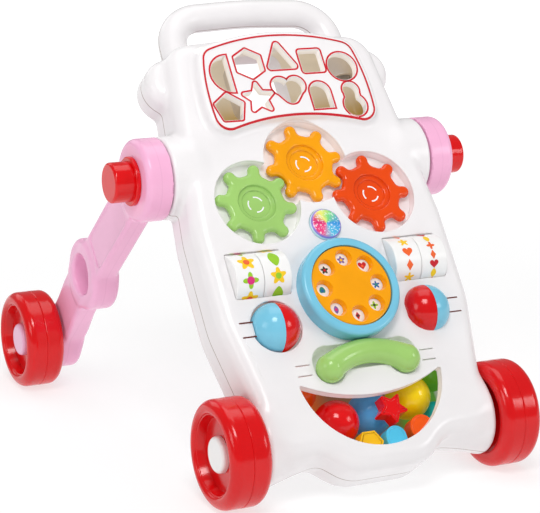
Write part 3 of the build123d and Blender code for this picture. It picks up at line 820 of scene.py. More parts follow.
@dataclass
class LegForm:
    """Outer form of one folding leg, measured along it from the clamp, across it and out along X."""

    side: Side
    width: float = 50.0
    inner: float = 152.0
    outer: float = 177.5
    clamp_face: float = 151.0
    drum_outer: float = 180.0
    drum_radius: float = 43.0
    foot_inner: float = 146.0
    foot_outer: float = 172.5
    foot_radius: float = 37.0
    ring_share: float = 0.571
    ring_radius: float = 40.0
    ring_hole: float = 22.5
    ring_inner: float = 147.5
    ring_outer: float = 178.5
    clamp_hole: float = 9.2
    pin_hole: float = 8.1
    pin_floor: float = 3.0
    recess_gap: float = 8.0
    recess_margin: float = 6.0
    recess_corner: float = 6.0
    recess_depth: float = 1.2
    recess_melt: float = 2.4
    edge: float = 5.0
    drum_rim: float = 7.0
    ring_rim: float = 6.0
    foot_rim: float = 7.0
    drum_melt: float = 7.0
    ring_melt: float = 7.0
    foot_melt: float = 9.0
    hole_melt: float = 4.5
    room: float = 50.0
    foot_room: float = 46.0
    side_room: float = 6.0
    step: float = 1.7

    def __post_init__(self) -> None:
        """Find the leg's line from the clamp to the rear axle."""
        clamp = np.array(JOINTS[f"leg_{self.side.word}_fold"]["pos_m"]) / MM
        axle = np.array(JOINTS[f"wheel_rear_{self.side.word}_spin"]["pos_m"]) / MM
        run = (axle - clamp) * np.array((0, 1, 1))
        self.length = float(np.linalg.norm(run))
        self.along = run / self.length
        self.out = np.array((float(self.side.value), 0, 0))
        self.across = np.cross((1, 0, 0), self.along)
        self.axes = np.array((self.along, self.across, self.out))
        self.origin = clamp * np.array((0, 1, 1))

    @property
    def middle(self) -> float:
        """Where the two halves of the leg meet."""
        return (self.inner + self.outer) / 2

    def solid(self, points: np.ndarray) -> np.ndarray:
        """Distance from the leg."""
        a, b, c = points[:, 0], points[:, 1], points[:, 2]
        ring_at = self.ring_share * self.length
        start = ring_at + self.ring_radius
        share = ease(a, start, self.length - self.foot_radius)
        low = self.inner + share * (self.foot_inner - self.inner)
        high = self.outer + share * (self.foot_outer - self.outer)
        flat = np.maximum(low - c, c - high)
        reach = np.maximum(-a, a - self.length)
        bar = np.maximum(rounded_rim(np.abs(b) - self.width / 2, flat, self.edge), reach)
        near = self.drum_radius + self.recess_gap
        far = ring_at - self.ring_radius - self.recess_gap
        middle = (near + far) / 2
        sides = np.abs(b) - self.width / 2 + self.recess_margin
        recess = rounded_rim(np.abs(a - middle) - (far - near) / 2, sides, self.recess_corner)
        bar = -melt(-bar, np.maximum(recess, high - self.recess_depth - c), self.recess_melt)
        drum = rounded_rim(np.hypot(a, b) - self.drum_radius, c - self.drum_outer, self.drum_rim)
        drum = np.maximum(drum, self.inner - c)
        circle = np.hypot(a - ring_at, b)
        ends = np.maximum(self.ring_inner - c, c - self.ring_outer)
        eye = rounded_rim(circle - self.ring_radius, ends, self.ring_rim)
        tip = np.hypot(a - self.length, b)
        foot = rounded_rim(tip - self.foot_radius, self.foot_inner - c, self.foot_rim)
        foot = np.maximum(foot, c - self.foot_outer)
        whole = melt(melt(bar, drum, self.drum_melt), eye, self.ring_melt)
        whole = melt(whole, foot, self.foot_melt)
        whole = np.where(a < middle, np.maximum(whole, self.clamp_face - c), whole)
        whole = -melt(-whole, circle - self.ring_hole, self.hole_melt)
        whole = np.maximum(whole, self.clamp_hole - np.hypot(a, b))
        pin = np.maximum(tip - self.pin_hole, self.foot_inner + self.pin_floor - c)
        return np.maximum(whole, -pin)

    def build(self) -> list[bpy.types.Object]:
        """Outer and inner half of the leg, in row-frame metres."""
        low = (-self.room, -self.room, self.foot_inner - self.side_room)
        high = (self.length + self.foot_room, self.room, self.drum_outer + self.side_room)
        points, quads = surface_net(self.solid, low, high, self.step)
        halves = []
        for word, keep in (("outer", 1), ("inner", -1)):
            half = mesh_piece(f"leg_{word}_form_{self.side.word}", points, quads)
            with edited(half) as work:
                trim(work, self.middle, keep)
            spots = np.array([v.co for v in half.data.vertices], float)
            slopes = slope_of(self.solid, spots) @ self.axes
            if self.side is Side.LEFT:
                half.data.flip_normals()
            half.data.vertices.foreach_set("co", ((spots @ self.axes + self.origin) * MM).ravel())
            half.data.update()
            set_point_normals(half, slopes)
            halves.append(half)
        return halves


class Signal:
    """Shader value that takes part in Python arithmetic."""

    def __init__(self, paint: "Paint", socket: bpy.types.NodeSocket) -> None:
        """Wrap a socket of a paint's node tree."""
        self.paint = paint
        self.socket = socket

    def maths(self, operation: str, first: "Signal | float", second: "Signal | float" = 0.0) -> "Signal":
        """One Math node.

        Args:
            operation: the node's operation.
            first: first value.
            second: second value.

        Returns:
            The node's value.
        """
        made = self.paint.node("ShaderNodeMath", {"operation": operation}, {0: first, 1: second})
        return Signal(self.paint, made.outputs[0])

    def __add__(self, other: "Signal | float") -> "Signal":
        """Sum."""
        return self.maths("ADD", self, other)

    def __sub__(self, other: "Signal | float") -> "Signal":
        """Difference."""
        return self.maths("SUBTRACT", self, other)

    def __rsub__(self, other: float) -> "Signal":
        """Difference from a number."""
        return self.maths("SUBTRACT", other, self)

    def __mul__(self, other: "Signal | float") -> "Signal":
        """Product."""
        return self.maths("MULTIPLY", self, other)

    def __truediv__(self, other: "Signal | float") -> "Signal":
        """Quotient."""
        return self.maths("DIVIDE", self, other)

    def __abs__(self) -> "Signal":
        """Absolute value."""
        return self.maths("ABSOLUTE", self)

    def angle(self, other: "Signal") -> "Signal":
        """Angle of this over another value, in radians."""
        return self.maths("ARCTAN2", self, other)

    def length(self, other: "Signal") -> "Signal":
        """Length of this and another value at right angles."""
        return self.maths("SQRT", self * self + other * other)

    def rise(self, low: float, high: float) -> "Signal":
        """Smooth step from 0 at low to 1 at high."""
        made = self.paint.node(
            "ShaderNodeMapRange",
            {"interpolation_type": "SMOOTHSTEP"},
            {"Value": self, "From Min": low, "From Max": high, "To Min": 0.0, "To Max": 1.0},
        )
        return Signal(self.paint, made.outputs[0])


class Paint:
    """Material under construction."""

    GRAIN_STRENGTH: ClassVar[float] = 0.04
    GRAIN_DEPTH: ClassVar[float] = 0.0004

    def __init__(self, name: str) -> None:
        """Start an empty material."""
        self.material = bpy.data.materials.new(name)
        self.material.use_nodes = True
        self.tree = self.material.node_tree
        self.tree.nodes.clear()

    def node(self, kind: str, settings: dict | None = None, sockets: dict | None = None) -> bpy.types.Node:
        """Any node, with its settings made first and its sockets filled or linked.

        Args:
            kind: node type.
            settings: properties by name; "stops" gives a ramp's positions and colours.
            sockets: values, signals or sockets by input name or number.

        Returns:
            The node.
        """
        made = self.tree.nodes.new(kind)
        for key, value in (settings or {}).items():
            if key == "stops":
                self.set_stops(made.color_ramp, value)
            else:
                setattr(made, key, value)
        for key, value in (sockets or {}).items():
            if isinstance(value, Signal):
                self.tree.links.new(value.socket, made.inputs[key])
            elif isinstance(value, bpy.types.NodeSocket):
                self.tree.links.new(value, made.inputs[key])
            else:
                made.inputs[key].default_value = value
        return made

    @staticmethod
    def set_stops(ramp: bpy.types.ColorRamp, stops: Sequence[tuple[float, Colour]]) -> None:
        """Fill a colour ramp."""
        while len(ramp.elements) < len(stops):
            ramp.elements.new(1.0)
        for element, (position, colour) in zip(ramp.elements, stops):
            element.position = position
            element.color = (*colour, 1)

    def place(self) -> bpy.types.NodeSocket:
        """Object coordinates, metres in the row frame."""
        return self.node("ShaderNodeTexCoord").outputs["Object"]

    def along(self, axis: Sequence[float], origin: Sequence[float]) -> Signal:
        """Millimetres along an axis from an origin in metres."""
        sockets = {0: self.place(), 1: tuple(origin)}
        shifted = self.node("ShaderNodeVectorMath", {"operation": "SUBTRACT"}, sockets)
        sockets = {0: shifted.outputs[0], 1: tuple(component / MM for component in axis)}
        made = self.node("ShaderNodeVectorMath", {"operation": "DOT_PRODUCT"}, sockets)
        return Signal(self, made.outputs["Value"])

    def panel(self) -> tuple[Signal, Signal, Signal]:
        """Panel coordinates u, s and w in millimetres."""
        return tuple(self.along(axis, PANEL.origin) for axis in (PANEL.across, PANEL.slope, PANEL.normal))

    def noise(self, scale: float, detail: float = 2.0) -> Signal:
        """Even noise over the row frame."""
        sockets = {"Vector": self.place(), "Scale": scale, "Detail": detail}
        return Signal(self, self.node("ShaderNodeTexNoise", None, sockets).outputs[0])

    def mix(self, factor: Signal | float, first: object, second: object) -> bpy.types.NodeSocket:
        """Colour between two colours or colour sockets."""
        def ready(value: object) -> object:
            return (*value, 1) if isinstance(value, tuple) else value
        sockets = {0: factor, 6: ready(first), 7: ready(second)}
        return self.node("ShaderNodeMix", {"data_type": "RGBA"}, sockets).outputs[2]

    def finish(
        self, colour: object, roughness: Signal | float, bump: Signal | None, others: dict
    ) -> bpy.types.Material:
        """Close the material with a principled shader.

        Args:
            colour: base colour socket.
            roughness: roughness value or signal.
            bump: height signal, or None.
            others: values or links of further sockets of the shader.

        Returns:
            The material.
        """
        sockets = {"Base Color": colour, "Roughness": roughness, **others}
        if bump is not None:
            grain = {"Strength": self.GRAIN_STRENGTH, "Distance": self.GRAIN_DEPTH, "Height": bump}
            sockets["Normal"] = self.node("ShaderNodeBump", None, grain).outputs[0]
        shader = self.node("ShaderNodeBsdfPrincipled", None, sockets)
        self.node("ShaderNodeOutputMaterial", None, {"Surface": shader.outputs[0]})
        return self.material


def tint(colour: Colour, amount: float) -> Colour:
    """Colour made lighter or darker by a factor."""
    return tuple(min(1.0, channel * amount) for channel in colour)


@dataclass(frozen=True)
class Plastic:
    """Moulded plastic with faint flow mottling and a satin grain."""

    name: str
    colour: Colour
    roughness: float = 0.3
    coat: float = 0.0
    mottle: float = 0.04
    specular: float = 0.42
    flow: ClassVar[tuple[float, float]] = (26.0, 3.0)
    flow_span: ClassVar[tuple[float, float]] = (0.3, 0.7)
    wear: ClassVar[tuple[float, float]] = (55.0, 2.0)
    wear_range: ClassVar[float] = 0.08
    fine: ClassVar[tuple[float, float]] = (1400.0, 1.0)

    def base(self, paint: Paint) -> bpy.types.NodeSocket:
        """Base colour with its mottling."""
        share = paint.noise(*self.flow).rise(*self.flow_span)
        return paint.mix(share, tint(self.colour, 1 - self.mottle), tint(self.colour, 1 + self.mottle))

    def gloss(self, paint: Paint) -> Signal:
        """Roughness that wanders a little."""
        return paint.noise(*self.wear) * self.wear_range + (self.roughness - self.wear_range / 2)

    def grain(self, paint: Paint) -> Signal | None:
        """Height of the moulded grain."""
        return paint.noise(*self.fine)

    def light(self, paint: Paint, colour: bpy.types.NodeSocket) -> dict[str, object]:
        """Shader sockets for a painted glow, none here."""
        return {}

    def paint(self) -> bpy.types.Material:
        """The finished material."""
        paint = Paint(self.name)
        colour = self.base(paint)
        shine = {"Coat Weight": self.coat, "Specular IOR Level": self.specular}
        others = {**shine, **self.light(paint, colour)}
        return paint.finish(colour, self.gloss(paint), self.grain(paint), others)


@dataclass(frozen=True)
class SeamedPlastic(Plastic):
    """Plastic with a fine brownish parting line where two halves meet."""

    seam: Colour = shade(132, 104, 88)
    seam_share: float = 0.8
    seam_edge: ClassVar[tuple[float, float]] = (0.35, 0.75)

    def line(self, paint: Paint) -> Signal:
        """Distance from the parting plane in millimetres."""
        return abs(paint.panel()[2])

    def base(self, paint: Paint) -> bpy.types.NodeSocket:
        """Mottled colour with the parting line drawn in."""
        mask = 1.0 - self.line(paint).rise(*self.seam_edge)
        return paint.mix(mask * self.seam_share, super().base(paint), self.seam)


@dataclass(frozen=True)
class SkinPlastic(SeamedPlastic):
    """White body plastic, with a painted warm glow on the walls of the sorter holes that lifts their shade.
    """

    # Colour and strength of the painted glow on the sorter hole walls
    warm: Colour = shade(250, 238, 212)
    glow: float = 0.2
    low_s: float = 346.0
    high_s: float = 434.0
    half: float = 92.0
    top_w: float = 49.0
    base_w: float = 40.0
    fade: float = 2.0
    base_fade: float = 1.0
    top_fade: float = 0.6

    def light(self, paint: Paint, colour: bpy.types.NodeSocket) -> dict[str, object]:
        """Painted warm glow on the walls of the sorter holes."""
        u, s, w = paint.panel()
        walls = s.rise(self.low_s - self.fade, self.low_s)
        walls = walls * (1.0 - s.rise(self.high_s, self.high_s + self.fade))
        walls = walls * (1.0 - abs(u).rise(self.half - self.fade, self.half))
        walls = walls * w.rise(self.base_w - self.base_fade, self.base_w)
        walls = walls * (1.0 - w.rise(self.top_w - self.top_fade, self.top_w))
        warm = paint.mix(walls, (0.0, 0.0, 0.0), self.warm)
        return {"Emission Color": warm, "Emission Strength": self.glow}


@dataclass(frozen=True)
class LegPlastic(SeamedPlastic):
    """Pink leg plastic with its line where the leg's halves meet."""

    seam: Colour = shade(206, 134, 176)
    seam_share: float = 0.15
    middle: float = 164.75

    def line(self, paint: Paint) -> Signal:
        """Distance from the plane between the leg's halves."""
        return abs(abs(paint.along((1, 0, 0), (0, 0, 0))) - self.middle)


@dataclass(frozen=True)
class CavityPlastic(Plastic):
    """White shell plastic with painted warm shade and glow in the sorter head, and painted shade, glow and
    reflections of the toys in the bin.
    """

    # Painted colours: warm shade of the sorter head, lighter towards its top; shade in the middle of the
    # bin; reflections of the orange and green toys on the bin walls; and the grey of a painted glow all over
    deep: Colour = shade(160, 130, 62)
    high: Colour = shade(208, 198, 180)
    pale: Colour = shade(128, 92, 68)
    amber: Colour = shade(200, 96, 20)
    leaf: Colour = shade(96, 154, 58)
    dim: Colour = (0.22, 0.22, 0.22)
    glow: float = 0.44
    floor_s: float = 341.0
    roof_s: float = 441.0
    top_w: float = 46.5
    bin_s: float = 92.0
    bin_half: float = 108.0
    bin_w: float = 20.0
    fade: float = 4.0
    roof_fade: float = 2.0
    top_fade: float = 3.0
    high_span: tuple[float, float] = (368.0, 410.0)
    pale_span: tuple[float, float] = (-46.0, -12.0)
    leaf_span: tuple[float, float] = (48.0, 66.0)

    def warmed(self, paint: Paint, shell: object) -> bpy.types.NodeSocket:
        """Shell colour with painted warm shade in the sorter head, and painted shade and toy reflections in
        the bin.
        """
        u, s, w = paint.panel()
        head = s.rise(self.floor_s - self.fade, self.floor_s + self.fade)
        head = head * (1.0 - s.rise(self.roof_s - self.roof_fade, self.roof_s + self.roof_fade))
        head = head * (1.0 - w.rise(self.top_w - self.top_fade, self.top_w))
        tub = 1.0 - s.rise(self.bin_s - self.fade, self.bin_s + self.fade)
        tub = tub * (1.0 - abs(u).rise(self.bin_half - self.fade, self.bin_half))
        tub = tub * (1.0 - w.rise(self.bin_w - self.top_fade, self.bin_w))
        warm = paint.mix(s.rise(*self.high_span), self.deep, self.high)
        bounce = paint.mix(u.rise(*self.leaf_span), self.pale, self.leaf)
        bounce = paint.mix(u.rise(*self.pale_span), self.amber, bounce)
        return paint.mix(tub, paint.mix(head, shell, warm), bounce)

    def base(self, paint: Paint) -> bpy.types.NodeSocket:
        """Mottled colour, with the painted shade and reflections inside."""
        return self.warmed(paint, super().base(paint))

    def light(self, paint: Paint, colour: bpy.types.NodeSocket) -> dict[str, object]:
        """Painted grey glow all over, in the colours of the painted shade and reflections inside."""
        return {"Emission Color": self.warmed(paint, self.dim), "Emission Strength": self.glow}


@dataclass(frozen=True)
class ToyPlastic(Plastic):
    """Bright toy plastic with a painted glow of its own colour, which lifts it out of the shade of the bin.
    """

    glow: float = 0.12

    def light(self, paint: Paint, colour: bpy.types.NodeSocket) -> dict[str, object]:
        """Painted glow of the plastic's own colour."""
        return {"Emission Color": colour, "Emission Strength": self.glow}


@dataclass(frozen=True)
class ButtonPrint(Plastic):
    """Clear domed button over a generic rainbow swirl."""

    centre_s: float = 214.5
    wander: tuple[float, float] = (160.0, 2.0)
    wander_share: float = 0.12
    stops: tuple[tuple[float, Colour], ...] = (
        (0.0, shade(225, 50, 120)),
        (0.2, shade(250, 80, 140)),
        (0.34, shade(90, 200, 235)),
        (0.55, shade(60, 150, 225)),
        (0.72, shade(130, 220, 130)),
        (0.86, shade(240, 240, 120)),
        (1.0, shade(225, 50, 120)),
    )
    spark: tuple[float, float] = (520.0, 3.0)
    spark_span: tuple[float, float] = (0.52, 0.66)
    spark_share: float = 0.75
    spark_colour: Colour = shade(250, 252, 255)
    edge_span: tuple[float, float] = (14.9, 15.9)
    edge_colour: Colour = shade(150, 130, 215)
    rim_span: tuple[float, float] = (16.6, 17.2)
    rim_colour: Colour = shade(205, 235, 245)

    def base(self, paint: Paint) -> bpy.types.NodeSocket:
        """Swirl with sparkles, an edge line and a pale rim."""
        u, s, _ = paint.panel()
        up = s - self.centre_s
        reach = u.length(up)
        turn = up.angle(u) / (2 * math.pi) + 0.5 + paint.noise(*self.wander) * self.wander_share
        swirl = paint.node("ShaderNodeValToRGB", {"stops": self.stops}, {0: turn}).outputs[0]
        sparkle = paint.noise(*self.spark).rise(*self.spark_span)
        inked = paint.mix(sparkle * self.spark_share, swirl, self.spark_colour)
        edged = paint.mix(reach.rise(*self.edge_span), inked, self.edge_colour)
        return paint.mix(reach.rise(*self.rim_span), edged, self.rim_colour)

    def grain(self, paint: Paint) -> Signal | None:
        """No grain on the clear dome."""
        return None


@dataclass(frozen=True)
class Metal:
    """Bright steel with fine drawn streaks."""

    name: str
    colour: Colour = shade(190, 190, 195)
    drawn: tuple[float, float] = (600.0, 4.0)
    shadow: float = 0.85
    gloss: float = 0.2
    gloss_range: float = 0.2

    def paint(self) -> bpy.types.Material:
        """The finished material."""
        paint = Paint(self.name)
        streak = paint.noise(*self.drawn)
        colour = paint.mix(streak, tint(self.colour, self.shadow), self.colour)
        return paint.finish(colour, streak * self.gloss_range + self.gloss, streak, {"Metallic": 1.0})


class Finish(Enum):
    """Finishes of the walker, one material each."""

    # The skin has a painted glow on the sorter hole walls; the shell has painted shade, glow and toy
    # reflections inside
    WHITE_SKIN = SkinPlastic("white_skin_plastic", shade(240, 237, 238), 0.24, 0.0, 0.012)
    WHITE_SHELL = CavityPlastic("white_shell_plastic", shade(240, 237, 238), 0.24, 0.0, 0.012)
    WHITE_ROLLER = Plastic("white_roller_plastic", shade(245, 244, 243), 0.24, 0.0, 0.01)
    PINK = LegPlastic("rose_leg_plastic", shade(245, 181, 215), 0.24, 0.0, 0.02)
    PINK_CAP = Plastic("rose_cap_plastic", shade(243, 190, 219), 0.24, 0.0, 0.02)
    RED = Plastic("signal_red_plastic", shade(218, 6, 12), 0.16)
    GREEN = Plastic("apple_plastic", shade(160, 204, 112), 0.16)
    ORANGE = Plastic("marigold_plastic", shade(247, 162, 0), 0.16)
    VERMILION = Plastic("vermilion_plastic", shade(232, 72, 4), 0.16)
    BLUE = Plastic("sky_plastic", shade(122, 198, 225), 0.16)
    CARD = Plastic("white_card", shade(246, 246, 246), 0.5, 0.0, 0.01)
    BUTTON = ButtonPrint("swirl_button", shade(220, 240, 250), 0.14, 0.3)
    STEEL = Metal("bright_steel")
    BOARD = Plastic("etched_board", shade(30, 92, 52), 0.5)
    BLACK = Plastic("speaker_black", shade(28, 28, 30), 0.5)
    CELL = Plastic("cell_sleeve", shade(60, 64, 70), 0.35)
    # Toy plastics with a painted glow of their own colour
    TOY_RED = ToyPlastic("cherry_toy", shade(218, 6, 12), 0.14)
    TOY_BLUE = ToyPlastic("sea_toy", shade(80, 158, 216), 0.14)
    TOY_YELLOW = ToyPlastic("lemon_toy", shade(240, 206, 10), 0.14)
    TOY_TEAL = ToyPlastic("lagoon_toy", shade(20, 160, 165), 0.14)
    TOY_GREEN = ToyPlastic("grass_toy", shade(112, 188, 50), 0.14)
    TOY_ORANGE = ToyPlastic("tangerine_toy", shade(238, 88, 14), 0.14)
    TOY_CYAN = ToyPlastic("ice_toy", shade(80, 190, 225), 0.16)
    TOY_AMBER = ToyPlastic("honey_toy", shade(236, 182, 24), 0.16)
    INK_RED = Plastic("red_ink", shade(202, 2, 30), 0.5)
    INK_YELLOW = Plastic("yellow_ink", shade(250, 205, 16), 0.5)
    INK_GREEN = Plastic("green_ink", shade(150, 204, 34), 0.5)
    INK_PINK = Plastic("pink_ink", shade(220, 36, 122), 0.5)
    INK_ORANGE = Plastic("orange_ink", shade(238, 98, 36), 0.5)
    INK_PURPLE = Plastic("purple_ink", shade(122, 98, 176), 0.5)
    INK_BLUE = Plastic("blue_ink", shade(28, 100, 186), 0.5)
    INK_TEAL = Plastic("teal_ink", shade(28, 144, 134), 0.5)
    # Painted shade laid over the spinner slots, which are dark inside
    INK_BROWN = Plastic("brown_ink", shade(104, 46, 36), 0.5)
    INK_DARK = Plastic("dark_ink", shade(40, 55, 45), 0.5)

    @property
    def material(self) -> bpy.types.Material:
        """The finish's material, made on first use."""
        return bpy.data.materials.get(self.value.name) or self.value.paint()


def dress(finish: Finish, *pieces: bpy.types.Object | str) -> None:
    """Give pieces or CAD nodes a finish.

    Args:
        finish: the finish.
        pieces: objects, or node names.
    """
    for piece in pieces:
        item = frame["nodes"][piece] if isinstance(piece, str) else piece
        if not item.material_slots:
            item.data.materials.append(finish.material)
        for slot in item.material_slots:
            slot.material = finish.material


def mount(piece: bpy.types.Object, body: str, finish: Finish) -> None:
    """Let a piece ride on a body and a finish.

    Args:
        piece: the new piece.
        body: body it moves with.
        finish: its finish.
    """
    dress(finish, piece)
    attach(piece, body)
    LOG.info("%s rides on %s", piece.name, body)


def drape(solid: Distance, outline: np.ndarray, lift: float) -> np.ndarray:
    """Panel points of a flat outline laid on a skin.

    Args:
        solid: distance from the skin.
        outline: u and s of each point.
        lift: height over the skin.

    Returns:
        Rows of u, s, w.
    """
    points = np.column_stack((outline, np.full(len(outline), DRAPE_TOP)))
    for _ in range(DRAPE_PASSES):
        points[:, 2] -= solid(points)
    return points + slope_of(solid, points) * lift


def band(name: str, inner: np.ndarray, outer: np.ndarray) -> bpy.types.Object:
    """Printed band between two rows of panel points of equal count.

    Args:
        name: piece name.
        inner: inside points.
        outer: outside points.

    Returns:
        The band in the row frame.
    """
    points = PANEL.place(np.concatenate((inner, outer)))
    return mesh_piece(name, points, wall(0, len(inner), turned=True))


def ridge(
    name: str, outline: np.ndarray, inset: float, width: float, base: float, rise: float
) -> bpy.types.Object:
    """Moulded ridge that follows an outline on a flat face.

    Args:
        name: piece name.
        outline: anticlockwise outline, u and s.
        inset: how far the ridge lies inside the outline.
        width: ridge width.
        base: height of the face.
        rise: height of the ridge.

    Returns:
        The ridge in the row frame.
    """
    steps = [
        (-inset, -RIDGE_FOOT),
        (-inset - RIDGE_SLOPE * width, rise),
        (-inset - (1 - RIDGE_SLOPE) * width, rise),
        (-inset - width, -RIDGE_FOOT),
    ]
    count = len(outline)
    points = [(u, s, base + h) for grow, h in steps for u, s in swell(outline, grow)]
    faces = [face for level in range(len(steps) - 1) for face in wall(level * count, count)]
    return mesh_piece(name, PANEL.place(np.array(points)), faces)


@dataclass
class BodyShell:
    """White body: two CAD shells under moulded skins that melt drums, ears, arms and handle together."""

    form: BodyForm
    lip: float = 0.5
    hole_depth: float = 3.0
    pad_depth: float = 9.0
    highest_hole_s: float = 290.0
    window: tuple[float, float, float, float] = (60.0, 70.0, 14.0, 407.0)
    door: tuple[float, float, float, float] = (68.0, 44.0, 0.6, 218.0)
    screws: tuple[tuple[float, float], ...] = ((108, 24), (132, 128), (128, 225), (116, 352))
    screw_radius: float = 4.2
    screw_steps: int = 32
    rear_floor: float = 6.1
    head_room: float = 6.0
    clamp_radius: float = 9.2
    axle_radius: float = 8.1
    plug_in: float = 12.0
    plug_out: float = 8.0

    def hatches(self) -> list[np.ndarray]:
        """Outlines of the hand window, battery door and screw wells of the back."""
        loops = []
        for across, tall, corner, s in (self.window, self.door):
            u, rise = across / 2, tall / 2
            spots = [(u, s - rise), (u, s + rise), (-u, s + rise), (-u, s - rise)]
            loops.append(rounded([(*spot, corner) for spot in spots]))
        for u, s in self.screws:
            loops.extend(ring(self.screw_radius, side.value * u, s, self.screw_steps) for side in Side)
        return loops

    def build(self) -> None:
        """Cut both skins and set them on the body."""
        form = self.form
        panel = form.front_depth + form.skin
        pad = form.pad_height + form.skin
        _, openings = rim_loops("front_shell", form.front_depth)
        openings = [loop for loop in openings if loop[:, 1].mean() < self.highest_hole_s]
        _, sorter = rim_loops("sorter_plate", form.flange_w)
        front_plugs = [
            cutter("panel_plugs", openings, panel, form.front_depth - self.hole_depth, self.lip),
            cutter("sorter_plugs", sorter, pad, form.pad_height - self.pad_depth, self.lip),
            *self.side_plugs(),
        ]
        front = ShellSkin("front_skin", form.front, pad + self.head_room, front_plugs).build()
        back = form.rear_depth + form.skin
        rear_plugs = [
            cutter("rear_plugs", self.hatches(), back, self.rear_floor, self.lip),
            *self.side_plugs(),
        ]
        tall = form.drum_radius + self.head_room
        rear = ShellSkin("rear_skin", form.rear, tall, rear_plugs, turned=True).build()
        for skin in (front, rear):
            mount(skin, "walker_body", Finish.WHITE_SKIN)

    def side_plugs(self) -> list[bpy.types.Object]:
        """Plugs for the clamp and axle holes of both sides."""
        form = self.form
        plugs = []
        for side in Side:
            for name, radius, out, s in (
                ("clamp_plug", self.clamp_radius, form.drum_out, form.drum_s),
                ("axle_plug", self.axle_radius, form.arm_out, 0.0),
            ):
                ends = sorted(side.value * (out + more) for more in (-self.plug_in, self.plug_out))
                plugs.append(bar_cutter(name, radius, *ends, s))
        return plugs

    def dress(self) -> None:
        """Finish the shells, screws and inner parts."""
        # The shell plastic carries painted shade, glow and toy reflections inside the sorter head and the
        # bin
        dress(Finish.WHITE_SHELL, "front_shell", "rear_shell", "sorter_plate", "battery_door")
        dress(Finish.WHITE_SKIN, "handle_front", "handle_rear")
        dress(Finish.STEEL, "shell_screws", "roller_rods", "spinner_rods")
        dress(Finish.STEEL, "clamp_nut_left", "clamp_nut_right")
        dress(Finish.BOARD, "circuit_board")
        dress(Finish.BLACK, "speaker")
        dress(Finish.CELL, "batteries")
        dress(Finish.WHITE_ROLLER, "gear_posts", "dial_spindle")


@dataclass
class SorterPrint:
    """Red lines printed round the sorter holes and round the whole sorter."""

    form: BodyForm
    gap: float = 0.5
    width: float = 2.0
    frame_inset: float = 5.3
    frame_drop: float = 4.4
    frame_turn: float = 372.0
    frame_fade: float = 20.0
    lift: float = 0.06
    frame_lift: float = 0.3

    def build(self) -> None:
        """Print the lines on the front skin."""
        _, holes = rim_loops("sorter_plate", self.form.flange_w)
        for number, loop in enumerate(holes, 1):
            outer = swell(loop, self.gap + self.width)
            self.line(f"hole_line_{number}", swell(loop, self.gap), outer, self.lift)
        outer, _ = rim_loops("sorter_plate", self.form.pad_low)
        edge = max(outer, key=area_of)
        low = ease(self.frame_turn - edge[:, 1], 0.0, self.frame_fade)
        edge = edge - np.column_stack((np.zeros(len(edge)), self.frame_drop * low))
        inner = swell(edge, -self.frame_inset - self.width)
        self.line("frame_line", inner, swell(edge, -self.frame_inset), self.frame_lift)

    def line(self, name: str, inner: np.ndarray, outer: np.ndarray, lift: float) -> None:
        """One printed line between two outlines."""
        solid = self.form.front
        piece = band(name, drape(solid, inner, lift), drape(solid, outer, lift))
        mount(piece, "walker_body", Finish.INK_RED)


@dataclass
class GearForm:
    """Outer form of one gear with soft knob teeth, in panel millimetres."""

    node: str
    teeth: int = 8
    tip: float = 44.8
    root: float = 32.6
    knob: float = 6.2
    valley: float = 5.5
    low: float = 27.5
    top: float = 37.0
    edge: float = 4.0
    dish: float = 20.5
    dish_w: float = 34.0
    hub: float = 15.5
    hub_w: float = 32.4
    hub_melt: float = 1.0
    room: float = 3.0
    tip_range: float = 0.1
    step: float = 1.4

    def __post_init__(self) -> None:
        """Find the gear's middle and the turn of its teeth."""
        self.middle = PANEL.find(np.array(JOINTS[self.node + "_spin"]["pos_m"])[None, :])[0]
        spots = panel_points(self.node) - self.middle
        reach = np.hypot(spots[:, 0], spots[:, 1])
        tips = spots[reach > reach.max() - self.tip_range]
        angle = np.arctan2(tips[:, 1], tips[:, 0])
        self.turn = float(np.angle(np.mean(np.exp(1j * self.teeth * angle))) / self.teeth)

    def solid(self, points: np.ndarray) -> np.ndarray:
        """Distance from the gear."""
        x, y, w = points[:, 0] - self.middle[0], points[:, 1] - self.middle[1], points[:, 2]
        reach = np.hypot(x, y)
        pitch = 2 * math.pi / self.teeth
        turn = np.mod(np.arctan2(y, x) - self.turn + pitch / 2, pitch) - pitch / 2
        along, across = reach * np.cos(turn), reach * np.sin(turn)
        tooth = np.hypot(along - np.clip(along, 0, self.tip - self.knob), across) - self.knob
        flat = melt(tooth, reach - self.root, self.valley)
        half = (self.top - self.low) / 2
        gear = rounded_rim(flat, np.abs(w - self.low - half) - half, self.edge)
        dish = np.maximum(reach - self.dish, self.dish_w - w)
        hub = np.maximum(reach - self.hub, self.hub_w - w)
        return -melt(melt(-gear, dish, self.hub_melt), hub, self.hub_melt)

    def build(self) -> bpy.types.Object:
        """The gear in row-frame metres."""
        margin = self.tip + self.room
        low = (self.middle[0] - margin, self.middle[1] - margin, self.low - self.room)
        high = (self.middle[0] + margin, self.middle[1] + margin, self.top + self.room)
        return panel_form(self.node + "_form", self.solid, low, high, self.step)


